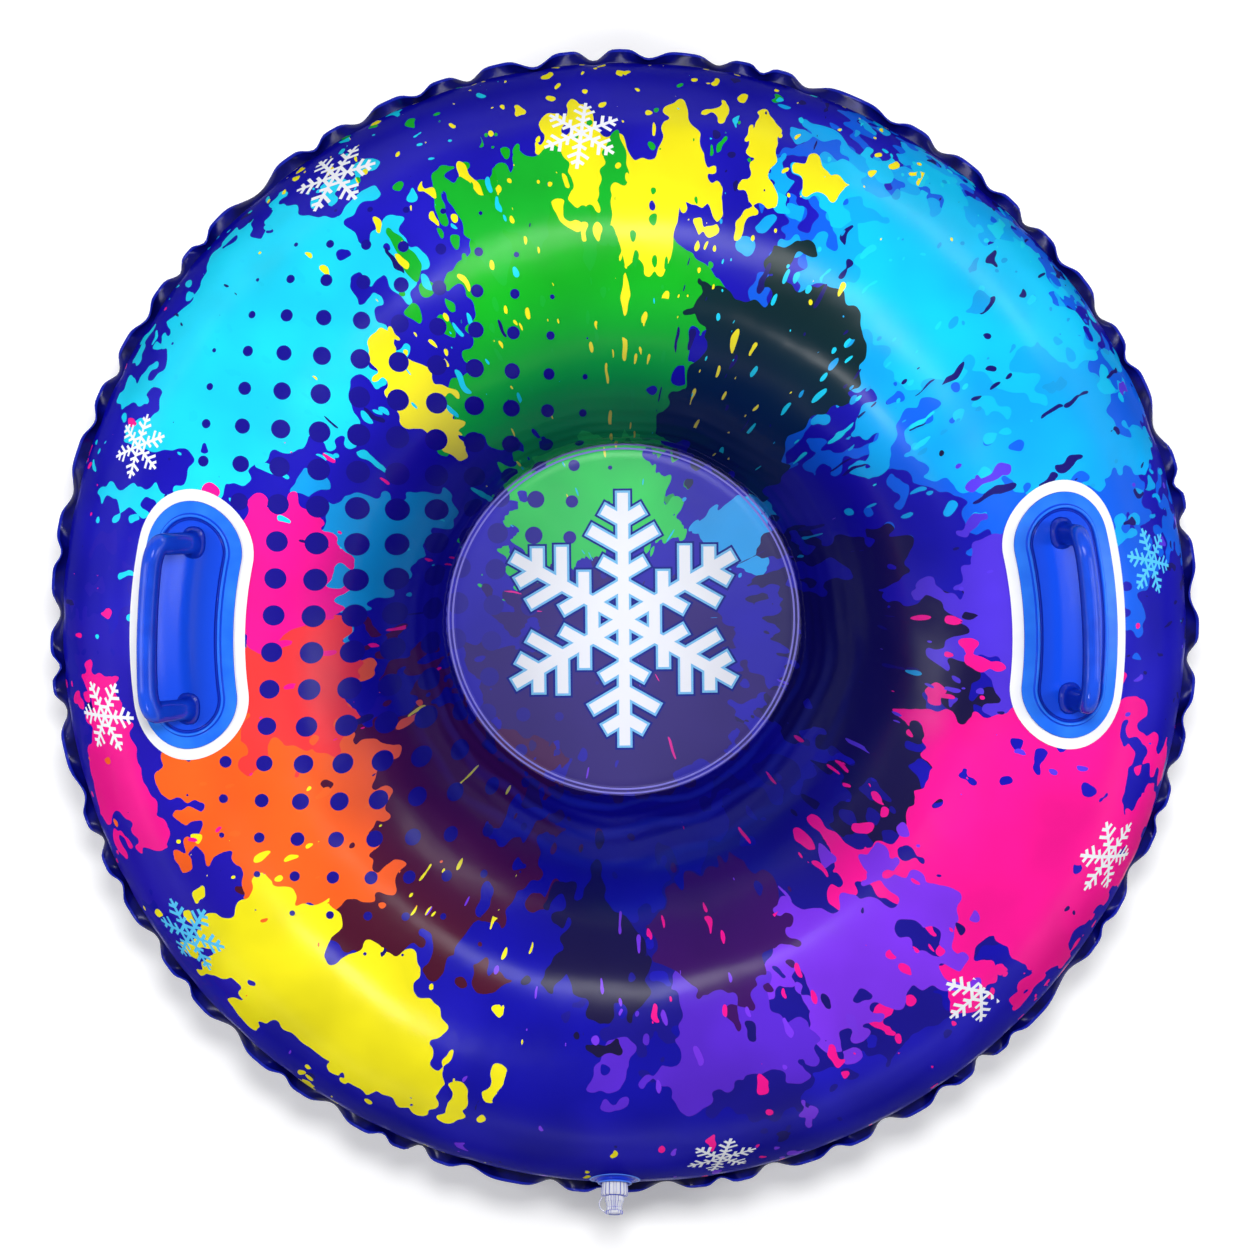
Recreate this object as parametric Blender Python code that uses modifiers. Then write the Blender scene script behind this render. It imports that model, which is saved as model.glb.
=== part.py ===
"""An inflated snow tube: two welded vinyl sheets, a ruffled rim, two grab handles and a plugged valve.

Metres, +Z up. The tube lies flat with its axis on +Z and the origin on that axis at floor level.
The handles are near -X and +X, the valve is near -Y.
"""

import math

import bmesh
import bpy
from mathutils import Matrix, Vector

MM = 0.001
DEGREE = math.pi / 180

# Inflated section. The outer half of the section is a round arc about a ring of CROWN_RADIUS.
CROWN_RADIUS = 347 * MM
SECTION_RADIUS = 160 * MM
EQUATOR_HEIGHT = 140 * MM
SHOULDER_ANGLE = 15 * DEGREE  # how far the round arc runs on past the crown, towards the seat
SHOULDER_REACH = 70 * MM  # how far the shoulder bows before it turns down
WALL_REACH = 110 * MM  # how far the seat wall stays steep above the floor
WALL_LEAN = 3.4 * DEGREE
STANDING_OUTSET = 38 * MM  # the flat ring it stands on, outside and inside the crown's line
STANDING_INSET = 47 * MM
STANDING_RADIUS_OUTER = CROWN_RADIUS + STANDING_OUTSET
STANDING_RADIUS_INNER = CROWN_RADIUS - STANDING_INSET
HEEL_REACH = 80 * MM  # how far the underside bows in from the standing ring
SEAM_ANGLE = 6.4 * DEGREE  # the rim seam lies this far above the section's widest line

# Sheets
SHEET_THICKNESS = 0.8 * MM
CLEARANCE = 0.3 * MM
TURN_STEPS = 56
ARC_STEPS = 11
WALL_STEPS = 7
UNDERSIDE_STEPS = 6
HEEL_STEPS = 4

# Seat floor: two plies, with the double weld line pressed into its margin
FLOOR_HEIGHT = 55 * MM
FLOOR_RADIUS = 165 * MM
FLOOR_THICKNESS = 2 * SHEET_THICKNESS
WELD_WIDTH = 8 * MM
WELD_RIDGE = 0.6 * MM
WELD_GROOVE = 0.5 * MM
FLOOR_LIP = 3 * MM
FLOOR_UPSTAND = 4 * MM  # each sheet leaves the weld upright for this height

# Rim flange: the fused margin of both sheets, in scallops
SCALLOPS = 56
SAMPLES_PER_SCALLOP = 4
FLANGE_THICKNESS = 2 * SHEET_THICKNESS
FLANGE_LIP = 3 * MM
FLANGE_VALLEY_WIDTH = 4 * MM
FLANGE_CREST_WIDTH = 11 * MM
RUFFLE_RISE = 2.5 * MM
RUFFLE_SWAY = 1.1 * DEGREE  # how far a scallop strays from its even place around the rim
SWAY_WAVES = (5, 13)

# Handles
HANDLE_FORWARD_ANGLE = 3 * DEGREE  # both handles sit this far forward of the tube's side line
HANDLE_LEAN = 13.1 * DEGREE  # how far down the round arc, outwards from the crown, its middle lies
HANDLE_RADIUS = CROWN_RADIUS + SECTION_RADIUS * math.sin(HANDLE_LEAN)
BASE_LENGTH = 213.7 * MM
BASE_WIDTH = 86 * MM
PATCH_MARGIN = 9.8 * MM
PATCH_LIFT = 0.5 * MM
PATCH_THICKNESS = 0.7 * MM
BASE_LIFT = 0.5 * MM
BASE_THICKNESS = 2.2 * MM
BASE_EDGE = 1.5 * MM
BASE_MARGIN = 10.5 * MM
BEAD_WIDTH = 3 * MM
BEAD_HEIGHT = 3.6 * MM
GROOVE_WIDTH = 1 * MM
GROOVE_FLOOR = 1.2 * MM
END_STEPS = 10
SIDE_STEPS = 6

FOOT_SPACING = 143 * MM
GRIP_REACH = 46 * MM  # from the line through the feet to the middle of the bar
GRIP_DEPTH = 18.5 * MM  # the bar's section, away from the base
GRIP_WIDTH = 14.5 * MM  # the bar's section, across the handle
GRIP_CORNER = 22 * MM
GRIP_BOW = 4.5 * MM
KNUCKLE_RADIUS = 10 * MM
KNUCKLE_LENGTH = 19 * MM
KNUCKLE_SEAT = 0.8 * MM  # how deep the knuckle lies in the base's floor
SADDLE_LENGTH = 24 * MM
SADDLE_HEIGHT = 4 * MM
LEFT_LEAN = 22 * DEGREE
RIGHT_LEAN = -4.5 * DEGREE
CORNER_STEPS = 4
BAR_STEPS = 6

# Valve
VALVE_ANGLE = -91.85 * DEGREE
VALVE_RISE = 23.6 * DEGREE  # its axis, above level
COLLAR_RADIUS = 23 * MM
COLLAR_EDGE = 0.4 * MM
COLLAR_FLAT = 0.9 * MM
COLLAR_STEP_RADIUS = 17.2 * MM
COLLAR_BOSS_RADIUS = 15.6 * MM
COLLAR_HEIGHT = 4 * MM
COLLAR_CHAMFER = 1.5 * MM
COLLAR_DEPTH = 5 * MM
STEM_RADIUS = 12.4 * MM
STEM_CLEARANCE = 0.5 * MM
STEM_WALL = 2.2 * MM
STEM_SHOULDER = 15 * MM
STEM_SHOULDER_DROP = 0.4 * MM
STEM_NECK_RADIUS = 8.3 * MM
STEM_NECK_HEIGHT = 3 * MM  # the neck rises straight for this height and then tapers
STEM_TIP_RADIUS = 7 * MM
STEM_TOP = 28 * MM
STEM_BORE = 4.6 * MM
STEM_SEAT_THICKNESS = 2.5 * MM
RETAINER_RADIUS = 16 * MM
RETAINER_TOP = 3.4 * MM  # below the sheet's outer face
RETAINER_THICKNESS = 2 * MM
PLUG_HEAD_RADIUS = 8.1 * MM
PLUG_HEAD_THICKNESS = 3 * MM
PLUG_CHAMFER = 0.4 * MM
PLUG_FIT = 0.3 * MM
PLUG_TAPER = 3 * MM
FLAP_RADIUS = 7.2 * MM
FLAP_THICKNESS = 1 * MM
FLAP_TAB_WIDTH = 5 * MM
FLAP_TAB_THICKNESS = 0.7 * MM
FLAP_TAB_OVERLAP = 3 * MM
TETHER_RADIUS = 0.9 * MM
TETHER_BULGE = 5 * MM
TETHER_STEPS = 9
ROUND_STEPS = 28
SMALL_ROUND_STEPS = 20

CUT_OVERRUN = 6 * MM
WELD_DISTANCE = 0.01 * MM
SMOOTH_ANGLE = 30 * DEGREE

PRINT_BLUE = (0.011, 0.007, 0.45, 1.0)
HANDLE_BLUE = (0.02, 0.12, 0.83, 1.0)
PATCH_WHITE = (0.86, 0.86, 0.88, 1.0)
COLLAR_BLUE = (0.01, 0.03, 0.5, 1.0)
CLEAR_VINYL = (0.62, 0.66, 0.9, 1.0)


def empty_the_scene():
    """Removes every object, so that the script can run again."""
    for item in list(bpy.data.objects):
        bpy.data.objects.remove(item, do_unlink=True)


def new_collection(name):
    """Adds a collection to the scene."""
    collection = bpy.data.collections.new(name)
    bpy.context.scene.collection.children.link(collection)
    return collection


def vinyl(name, color, roughness, alpha=1.0):
    """A soft plastic finish."""
    material = bpy.data.materials.new(name)
    material.use_nodes = True
    shader = material.node_tree.nodes["Principled BSDF"]
    shader.inputs["Base Color"].default_value = color
    shader.inputs["Roughness"].default_value = roughness
    shader.inputs["Metallic"].default_value = 0.0
    shader.inputs["Alpha"].default_value = alpha
    return material


def add_object(name, mesh, collection, material=None, matrix=None):
    """Puts a mesh in a collection as a named object."""
    item = bpy.data.objects.new(name, mesh)
    collection.objects.link(item)
    if material is not None:
        mesh.materials.append(material)
    if matrix is not None:
        item.matrix_world = matrix
    return item


def profile_object(name, points, collection, material=None, matrix=None):
    """A chain of edges through (radius, height) points, which a Screw modifier turns about Z."""
    mesh = bpy.data.meshes.new(name)
    chain = [(number, number + 1) for number in range(len(points) - 1)]
    mesh.from_pydata([(radius, 0, height) for radius, height in points], chain, [])
    return add_object(name, mesh, collection, material, matrix)


def turn(item, steps):
    """Turns a profile once about its own Z axis."""
    screw = item.modifiers.new("turn", "SCREW")
    screw.axis = "Z"
    screw.angle = 2 * math.pi
    screw.steps = steps
    screw.render_steps = steps
    screw.use_merge_vertices = True
    screw.merge_threshold = WELD_DISTANCE
    screw.use_smooth_shade = True
    return screw


def thicken(item, thickness):
    """Gives an open sheet its thickness on the side away from its normals."""
    solidify = item.modifiers.new("thickness", "SOLIDIFY")
    solidify.thickness = thickness
    solidify.offset = -1
    solidify.use_even_offset = True
    solidify.use_rim = True
    return solidify


def combine(item, other, operation):
    """Adds an exact Boolean against another object."""
    boolean = item.modifiers.new(operation.lower(), "BOOLEAN")
    boolean.operation = operation
    boolean.solver = "EXACT"
    boolean.object = other
    return boolean


def hide_guide(item):
    """Marks an object as a cutter or a guide, which is not part of the tube."""
    item.hide_render = True
    item.display_type = "WIRE"
    return item


def smooth(mesh):
    """Shades a mesh smooth, with its edges kept sharp."""
    mesh.shade_smooth()
    mesh.set_sharp_from_angle(angle=SMOOTH_ANGLE)


def bezier(start, start_handle, end_handle, end, steps):
    """Points along one cubic curve, without its first point."""
    points = []
    for number in range(1, steps + 1):
        t = number / steps
        weights = ((1 - t) ** 3, 3 * t * (1 - t) ** 2, 3 * t * t * (1 - t), t**3)
        corners = (start, start_handle, end_handle, end)
        points.append(tuple(sum(w * c[axis] for w, c in zip(weights, corners)) for axis in (0, 1)))
    return points


def section_point(angle, lift=0.0):
    """A (radius, height) point on the round arc, its angle measured up from level."""
    reach = SECTION_RADIUS + lift
    return (CROWN_RADIUS + reach * math.cos(angle), EQUATOR_HEIGHT + reach * math.sin(angle))


def seam_half_angle():
    """Half the angle that the rim flange and its clearances take out of the section."""
    return math.asin((FLANGE_THICKNESS / 2 + CLEARANCE) / SECTION_RADIUS)


def arc_angles():
    """Angles of the top sheet's round arc, from the shoulder over the crown to the rim."""
    start = math.pi / 2 + SHOULDER_ANGLE
    end = SEAM_ANGLE + seam_half_angle()
    return [start + (end - start) * number / ARC_STEPS for number in range(ARC_STEPS + 1)]


def top_profile():
    """Outer line of the top sheet, from the seat floor over the crown to the rim."""
    shoulder = section_point(math.pi / 2 + SHOULDER_ANGLE)
    shoulder_handle = (
        shoulder[0] - SHOULDER_REACH * math.cos(SHOULDER_ANGLE),
        shoulder[1] - SHOULDER_REACH * math.sin(SHOULDER_ANGLE),
    )
    weld = (FLOOR_RADIUS, FLOOR_HEIGHT + CLEARANCE)
    foot = (weld[0], weld[1] + FLOOR_UPSTAND)
    foot_handle = (
        foot[0] + WALL_REACH * math.sin(WALL_LEAN),
        foot[1] + WALL_REACH * math.cos(WALL_LEAN),
    )
    wall = [weld, foot] + bezier(foot, foot_handle, shoulder_handle, shoulder, WALL_STEPS)
    return wall[:-1] + [section_point(angle) for angle in arc_angles()]


def bottom_profile():
    """Outer line of the bottom sheet, from the rim down, along the standing ring and up to the seat floor."""
    start = SEAM_ANGLE - seam_half_angle()
    belt = [section_point(start), section_point(start / 2)]
    reach = CROWN_RADIUS + SECTION_RADIUS - STANDING_RADIUS_OUTER
    side = []
    for number in range(UNDERSIDE_STEPS + 1):
        angle = math.pi / 2 * number / UNDERSIDE_STEPS
        side.append(
            (
                STANDING_RADIUS_OUTER + reach * math.cos(angle),
                EQUATOR_HEIGHT - EQUATOR_HEIGHT * math.sin(angle),
            )
        )
    inner = (STANDING_RADIUS_INNER, 0)
    weld = (FLOOR_RADIUS, FLOOR_HEIGHT - FLOOR_THICKNESS - CLEARANCE)
    foot = (weld[0], weld[1] - FLOOR_UPSTAND)
    heel = bezier(inner, (inner[0] - HEEL_REACH, 0), (foot[0], foot[1] / 2), foot, HEEL_STEPS)
    return belt + side + [inner] + heel + [weld]


def floor_profile():
    """Closed line of the seat floor, from the middle of its top round the lip to the middle below."""
    top = FLOOR_HEIGHT
    bottom = FLOOR_HEIGHT - FLOOR_THICKNESS
    inner = FLOOR_RADIUS - WELD_WIDTH
    quarter = WELD_WIDTH / 4
    return [
        (0, top),
        (inner, top),
        (inner + quarter / 2, top - WELD_GROOVE),
        (inner + quarter, top + WELD_RIDGE),
        (inner + 3 * quarter, top + WELD_RIDGE),
        (inner + 4 * quarter - CLEARANCE, top - WELD_GROOVE),
        (FLOOR_RADIUS, top),
        (FLOOR_RADIUS + FLOOR_LIP, top),
        (FLOOR_RADIUS + FLOOR_LIP, bottom),
        (0, bottom),
    ]


def make_sheet(name, points, collection, material):
    """One welded sheet, turned and given its thickness."""
    item = profile_object(name, points, collection, material)
    turn(item, TURN_STEPS)
    thicken(item, SHEET_THICKNESS)
    return item


def make_flange(collection, material):
    """The ruffled margin outside the seam, which scallops around the rim."""
    root, level = section_point(SEAM_ANGLE)
    points = [
        (root - FLANGE_LIP, level + FLANGE_THICKNESS / 2),
        (root + CLEARANCE, level + FLANGE_THICKNESS / 2),
        (root + FLANGE_CREST_WIDTH, level + FLANGE_THICKNESS / 2),
    ]
    guide = profile_object("rim_guide", points, collection)
    turn(guide, SCALLOPS * SAMPLES_PER_SCALLOP)
    mesh = evaluated_mesh(guide, "rim_weld_flange")
    bpy.data.objects.remove(guide, do_unlink=True)
    for vertex in mesh.vertices:
        radius = math.hypot(vertex.co.x, vertex.co.y)
        angle = math.atan2(vertex.co.y, vertex.co.x)
        share = max(0, (radius - root - CLEARANCE) / (FLANGE_CREST_WIDTH - CLEARANCE))
        swing = abs(math.sin(SCALLOPS * angle / 2))
        width = FLANGE_VALLEY_WIDTH + (FLANGE_CREST_WIDTH - FLANGE_VALLEY_WIDTH) * swing
        if share > 0:
            radius = root + CLEARANCE + (width - CLEARANCE) * share
        angle += RUFFLE_SWAY * sum(math.sin(waves * angle) for waves in SWAY_WAVES) / len(SWAY_WAVES)
        rise = RUFFLE_RISE * share * (2 * swing - 1)
        vertex.co = (radius * math.cos(angle), radius * math.sin(angle), vertex.co.z + rise)
    item = add_object("rim_weld_flange", mesh, collection, material)
    thicken(item, FLANGE_THICKNESS)
    smooth(mesh)
    return item


def evaluated_mesh(item, name):
    """A real mesh of an object as its modifiers or its bevel make it, with loose caps welded."""
    graph = bpy.context.evaluated_depsgraph_get()
    graph.update()
    mesh = bpy.data.meshes.new_from_object(item.evaluated_get(graph))
    mesh.name = name
    tidy = bmesh.new()
    tidy.from_mesh(mesh)
    bmesh.ops.remove_doubles(tidy, verts=tidy.verts, dist=WELD_DISTANCE)
    tidy.to_mesh(mesh)
    tidy.free()
    return mesh


def handle_point(azimuth, across, along, lift):
    """A point over the top sheet: across the handle (outwards), along it, and above the round arc."""
    lean = HANDLE_LEAN + across / SECTION_RADIUS
    radius, height = section_point(math.pi / 2 - lean, lift)
    angle = azimuth + along / HANDLE_RADIUS
    return Vector((radius * math.cos(angle), radius * math.sin(angle), height))


def handle_outline(inset, grow=0.0):
    """Points round a handle's outline, drawn in by an inset: two straight sides and two round ends."""
    straight = (BASE_LENGTH - BASE_WIDTH) / 2
    radius = BASE_WIDTH / 2 + grow - inset
    points = []
    for side in (1, -1):
        for number in range(SIDE_STEPS):
            points.append((side * radius, -side * straight * (1 - 2 * number / SIDE_STEPS)))
        for number in range(END_STEPS):
            angle = math.pi * number / END_STEPS
            points.append((side * radius * math.cos(angle), side * (straight + radius * math.sin(angle))))
    return points


def handle_pad(name, azimuth, stations, grow, collection, material):
    """A pad that follows the sheet, lofted through (inset, lift) stations from below to above."""
    build = bmesh.new()
    rings = []
    for inset, lift in stations:
        outline = handle_outline(inset, grow)
        rings.append([build.verts.new(handle_point(azimuth, u, v, lift)) for u, v in outline])
    for inner, outer in zip(rings, rings[1:]):
        for number in range(len(inner)):
            after = (number + 1) % len(inner)
            build.faces.new((inner[number], inner[after], outer[after], outer[number]))
    bmesh.ops.remove_doubles(build, verts=build.verts, dist=WELD_DISTANCE)
    bmesh.ops.recalc_face_normals(build, faces=build.faces)
    mesh = bpy.data.meshes.new(name)
    build.to_mesh(mesh)
    build.free()
    smooth(mesh)
    return add_object(name, mesh, collection, material)


def make_patch(side, azimuth, collection, material):
    """The white patch between the top sheet and the base."""
    half = BASE_WIDTH / 2 + PATCH_MARGIN
    below, above = PATCH_LIFT, PATCH_LIFT + PATCH_THICKNESS
    insets = [half, half * 2 / 3, half / 3, 0]
    stations = [(inset, below) for inset in insets] + [(inset, above) for inset in reversed(insets)]
    return handle_pad(side + "_handle_patch", azimuth, stations, PATCH_MARGIN, collection, material)


def base_levels():
    """Heights of the base above the sheet: its underside and its floor."""
    below = PATCH_LIFT + PATCH_THICKNESS + BASE_LIFT
    return below, below + BASE_THICKNESS


def lean_frame(azimuth, lean):
    """Origin and axes of a grip: on the line through its feet, X outwards, Y along the bar, Z up the legs."""
    half = FOOT_SPACING / 2
    height = base_levels()[1] + KNUCKLE_RADIUS - KNUCKLE_SEAT
    feet = [handle_point(azimuth, 0, side * half, height) for side in (-1, 1)]
    along = (feet[1] - feet[0]).normalized()
    tilt = HANDLE_LEAN + lean
    out = Vector((math.cos(azimuth), math.sin(azimuth), 0))
    up = out * math.sin(tilt) + Vector((0, 0, math.cos(tilt)))
    across = along.cross(up).normalized()
    frame = Matrix((across, along, up)).transposed().to_4x4()
    frame.translation = (feet[0] + feet[1]) / 2
    return frame, (feet[1] - feet[0]).length / 2


def along_bar(frame, place):
    """A cylinder primitive's matrix, its length laid along the bar at a place along it."""
    return frame @ Matrix.Translation((0, place, 0)) @ Matrix.Rotation(math.pi / 2, 4, "X")


def cylinder(name, radius, length, steps, matrix, collection):
    """A plain round bar, as a guide or a cutter."""
    build = bmesh.new()
    bmesh.ops.create_cone(
        build, cap_ends=True, segments=steps, radius1=radius, radius2=radius, depth=length
    )
    mesh = bpy.data.meshes.new(name)
    build.to_mesh(mesh)
    build.free()
    return hide_guide(add_object(name, mesh, collection, matrix=matrix))


def make_base(side, azimuth, collection, material, guides):
    """The moulded base: flat margin, bead, groove and floor, with a saddle under each foot."""
    below, floor = base_levels()
    half = BASE_WIDTH / 2
    bead = BASE_MARGIN + BEAD_WIDTH / 2
    groove = BASE_MARGIN + BEAD_WIDTH
    inner = groove + GROOVE_WIDTH
    stations = [
        (half, below),
        (half * 2 / 3, below),
        (half / 3, below),
        (0, below),
        (0, below + BASE_EDGE),
        (BASE_MARGIN, below + BASE_EDGE),
        (bead, below + BEAD_HEIGHT),
        (groove, below + GROOVE_FLOOR),
        (inner, floor),
        ((inner + half) / 2, floor),
        (half, floor),
    ]
    name = side + "_handle_base"
    base = handle_pad(name, azimuth, stations, 0, collection, material)
    frame, half_span = lean_frame(azimuth, 0)
    for number, sign in enumerate((-1, 1)):
        build = bmesh.new()
        bmesh.ops.create_cube(build, size=1)
        depth = KNUCKLE_RADIUS - KNUCKLE_SEAT + BASE_THICKNESS / 2
        height = SADDLE_HEIGHT + BASE_THICKNESS / 2
        bmesh.ops.scale(build, verts=build.verts, vec=(SADDLE_LENGTH, KNUCKLE_LENGTH, height))
        bmesh.ops.translate(
            build, verts=build.verts, vec=(0, sign * half_span, height / 2 - depth)
        )
        mesh = bpy.data.meshes.new(name + "_saddle")
        build.to_mesh(mesh)
        build.free()
        saddle = add_object(f"{name}_saddle_{number}", mesh, guides, matrix=frame)
        combine(base, hide_guide(saddle), "UNION")
    for number, sign in enumerate((-1, 1)):
        cutter = cylinder(
            f"{name}_knuckle_bed_{number}",
            KNUCKLE_RADIUS + CLEARANCE,
            KNUCKLE_LENGTH + CUT_OVERRUN,
            ROUND_STEPS,
            along_bar(frame, sign * half_span),
            guides,
        )
        combine(base, cutter, "DIFFERENCE")
    return base


def grip_path(half_span):
    """Points along the bar's middle line, from one foot over the bar to the other, as (along, up)."""
    points = [(-half_span, 0), (-half_span, (GRIP_REACH - GRIP_CORNER) / 2)]
    centre = half_span - GRIP_CORNER
    for number in range(CORNER_STEPS + 1):
        angle = math.pi / 2 * number / CORNER_STEPS
        points.append(
            (
                -centre - GRIP_CORNER * math.cos(angle),
                GRIP_REACH - GRIP_CORNER + GRIP_CORNER * math.sin(angle),
            )
        )
    for number in range(1, BAR_STEPS):
        points.append((-centre + 2 * centre * number / BAR_STEPS, GRIP_REACH))
    return points + [(-along, up) for along, up in reversed(points[: CORNER_STEPS + 3])]


def make_grip(side, azimuth, lean, collection, material, guides):
    """The bar that the hand closes on, with a round knuckle at each foot, on whose line it leans."""
    name = side + "_handle_grip"
    frame, half_span = lean_frame(azimuth, lean)
    curve = bpy.data.curves.new(name + "_path", "CURVE")
    curve.dimensions = "3D"
    curve.bevel_depth = GRIP_DEPTH / 2
    curve.bevel_resolution = 2
    curve.use_fill_caps = True
    path = grip_path(half_span)
    spline = curve.splines.new("POLY")
    spline.points.add(len(path) - 1)
    for point, (along, up) in zip(spline.points, path):
        point.co = (0, along, up, 1)
    guide = bpy.data.objects.new(name + "_path", curve)
    guides.objects.link(guide)
    mesh = evaluated_mesh(guide, name)
    bpy.data.objects.remove(guide, do_unlink=True)
    for vertex in mesh.vertices:
        bow = GRIP_BOW * max(0, 1 - (vertex.co.y / half_span) ** 2) * vertex.co.z / GRIP_REACH
        vertex.co.x = vertex.co.x * GRIP_WIDTH / GRIP_DEPTH + bow
    grip = add_object(name, mesh, collection, material, frame)
    for number, sign in enumerate((-1, 1)):
        knuckle = cylinder(
            f"{name}_knuckle_{number}",
            KNUCKLE_RADIUS,
            KNUCKLE_LENGTH,
            ROUND_STEPS,
            along_bar(frame, sign * half_span),
            guides,
        )
        combine(grip, knuckle, "UNION")
    smooth(mesh)
    return grip


def valve_frame():
    """Origin and axes of the valve: on the top sheet's outer face, Z out along the stem, Y along the rim."""
    out = Vector((math.cos(VALVE_ANGLE), math.sin(VALVE_ANGLE), 0))
    axis = out * math.cos(VALVE_RISE) + Vector((0, 0, math.sin(VALVE_RISE)))
    along = Vector((-math.sin(VALVE_ANGLE), math.cos(VALVE_ANGLE), 0))
    frame = Matrix((along.cross(axis), along, axis)).transposed().to_4x4()
    radius, height = section_point(VALVE_RISE)
    frame.translation = out * radius + Vector((0, 0, height))
    return frame


def sheet_envelope(guides):
    """The space that the top sheet takes up with its clearance, which trims what is seated on it."""
    line = [section_point(angle, CLEARANCE) for angle in arc_angles()]
    closed = line + [(CROWN_RADIUS, EQUATOR_HEIGHT), line[0]]
    envelope = profile_object("sheet_envelope", closed, guides)
    turn(envelope, TURN_STEPS)
    return hide_guide(envelope)


def cut_valve_hole(top_skin, frame, guides):
    """Opens the top sheet where the stem passes through."""
    cutter = cylinder(
        "valve_hole",
        STEM_RADIUS + STEM_CLEARANCE,
        2 * COLLAR_DEPTH + CUT_OVERRUN,
        ROUND_STEPS,
        frame,
        guides,
    )
    combine(top_skin, cutter, "DIFFERENCE")


def make_collar(frame, envelope, collection, material):
    """The blue ring round the stem: a flange that lies on the sheet, and a stepped boss."""
    bore = STEM_RADIUS + STEM_CLEARANCE
    points = [
        (bore, COLLAR_HEIGHT),
        (COLLAR_BOSS_RADIUS - COLLAR_CHAMFER, COLLAR_HEIGHT),
        (COLLAR_BOSS_RADIUS, (COLLAR_HEIGHT + COLLAR_FLAT) / 2),
        (COLLAR_STEP_RADIUS, COLLAR_FLAT),
        (COLLAR_RADIUS, COLLAR_EDGE),
        (COLLAR_RADIUS, -COLLAR_DEPTH),
        (bore, -COLLAR_DEPTH),
        (bore, COLLAR_HEIGHT),
    ]
    collar = profile_object("valve_collar", points, collection, material, frame)
    turn(collar, ROUND_STEPS)
    combine(collar, envelope, "DIFFERENCE")
    return collar


def make_stem(frame, collection, material):
    """The clear stem: a retainer inside the sheet, a wide cup and a tapered neck with a bore."""
    foot = -RETAINER_TOP - RETAINER_THICKNESS
    ceiling = STEM_SHOULDER - STEM_SEAT_THICKNESS
    cup = STEM_RADIUS - STEM_WALL
    points = [
        (STEM_BORE, STEM_TOP),
        (STEM_TIP_RADIUS, STEM_TOP),
        (STEM_NECK_RADIUS, STEM_SHOULDER + STEM_NECK_HEIGHT),
        (STEM_NECK_RADIUS, STEM_SHOULDER),
        (STEM_RADIUS, STEM_SHOULDER - STEM_SHOULDER_DROP),
        (STEM_RADIUS, -RETAINER_TOP),
        (RETAINER_RADIUS, -RETAINER_TOP),
        (RETAINER_RADIUS, foot),
        (cup, foot),
        (cup, ceiling),
        (STEM_BORE, ceiling),
        (STEM_BORE, STEM_TOP),
    ]
    stem = profile_object("valve_stem", points, collection, material, frame)
    turn(stem, ROUND_STEPS)
    return stem


def flap_levels():
    """Heights of the check flap's lower and upper face, just under the stem's inner seat."""
    upper = STEM_SHOULDER - STEM_SEAT_THICKNESS - CLEARANCE
    return upper - FLAP_THICKNESS, upper


def make_plug(frame, collection, material):
    """The clear stopper: a head over the stem's mouth and a shank down its bore."""
    base = STEM_TOP + CLEARANCE
    shank_end = flap_levels()[1] + CLEARANCE
    shank = STEM_BORE - PLUG_FIT
    points = [
        (0, base + PLUG_HEAD_THICKNESS),
        (PLUG_HEAD_RADIUS - PLUG_CHAMFER, base + PLUG_HEAD_THICKNESS),
        (PLUG_HEAD_RADIUS, base + PLUG_HEAD_THICKNESS / 2),
        (PLUG_HEAD_RADIUS - PLUG_CHAMFER, base),
        (shank, base),
        (shank, shank_end + PLUG_TAPER),
        (shank * 3 / 4, shank_end),
        (0, shank_end),
    ]
    plug = profile_object("valve_plug", points, collection, material, frame)
    turn(plug, SMALL_ROUND_STEPS)
    return plug


def make_tether(frame, collection, material):
    """The strap that keeps the plug on the stem, from the plug's head round to the stem's shoulder."""
    top = STEM_TOP + CLEARANCE + PLUG_HEAD_THICKNESS / 2
    bottom = STEM_SHOULDER + CLEARANCE
    start = PLUG_HEAD_RADIUS + CLEARANCE
    end = STEM_RADIUS - TETHER_RADIUS
    curve = bpy.data.curves.new("valve_tether_path", "CURVE")
    curve.dimensions = "3D"
    curve.bevel_depth = TETHER_RADIUS
    curve.bevel_resolution = 1
    curve.use_fill_caps = True
    spline = curve.splines.new("POLY")
    spline.points.add(TETHER_STEPS)
    for number, point in enumerate(spline.points):
        t = number / TETHER_STEPS
        bulge = TETHER_BULGE * math.sin(math.pi * t)
        point.co = (0, -(start + (end - start) * t * t + bulge), top + (bottom - top) * t ** 1.2, 1)
    guide = bpy.data.objects.new("valve_tether_path", curve)
    collection.objects.link(guide)
    mesh = evaluated_mesh(guide, "valve_tether")
    bpy.data.objects.remove(guide, do_unlink=True)
    smooth(mesh)
    return add_object("valve_tether", mesh, collection, material, frame)


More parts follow.
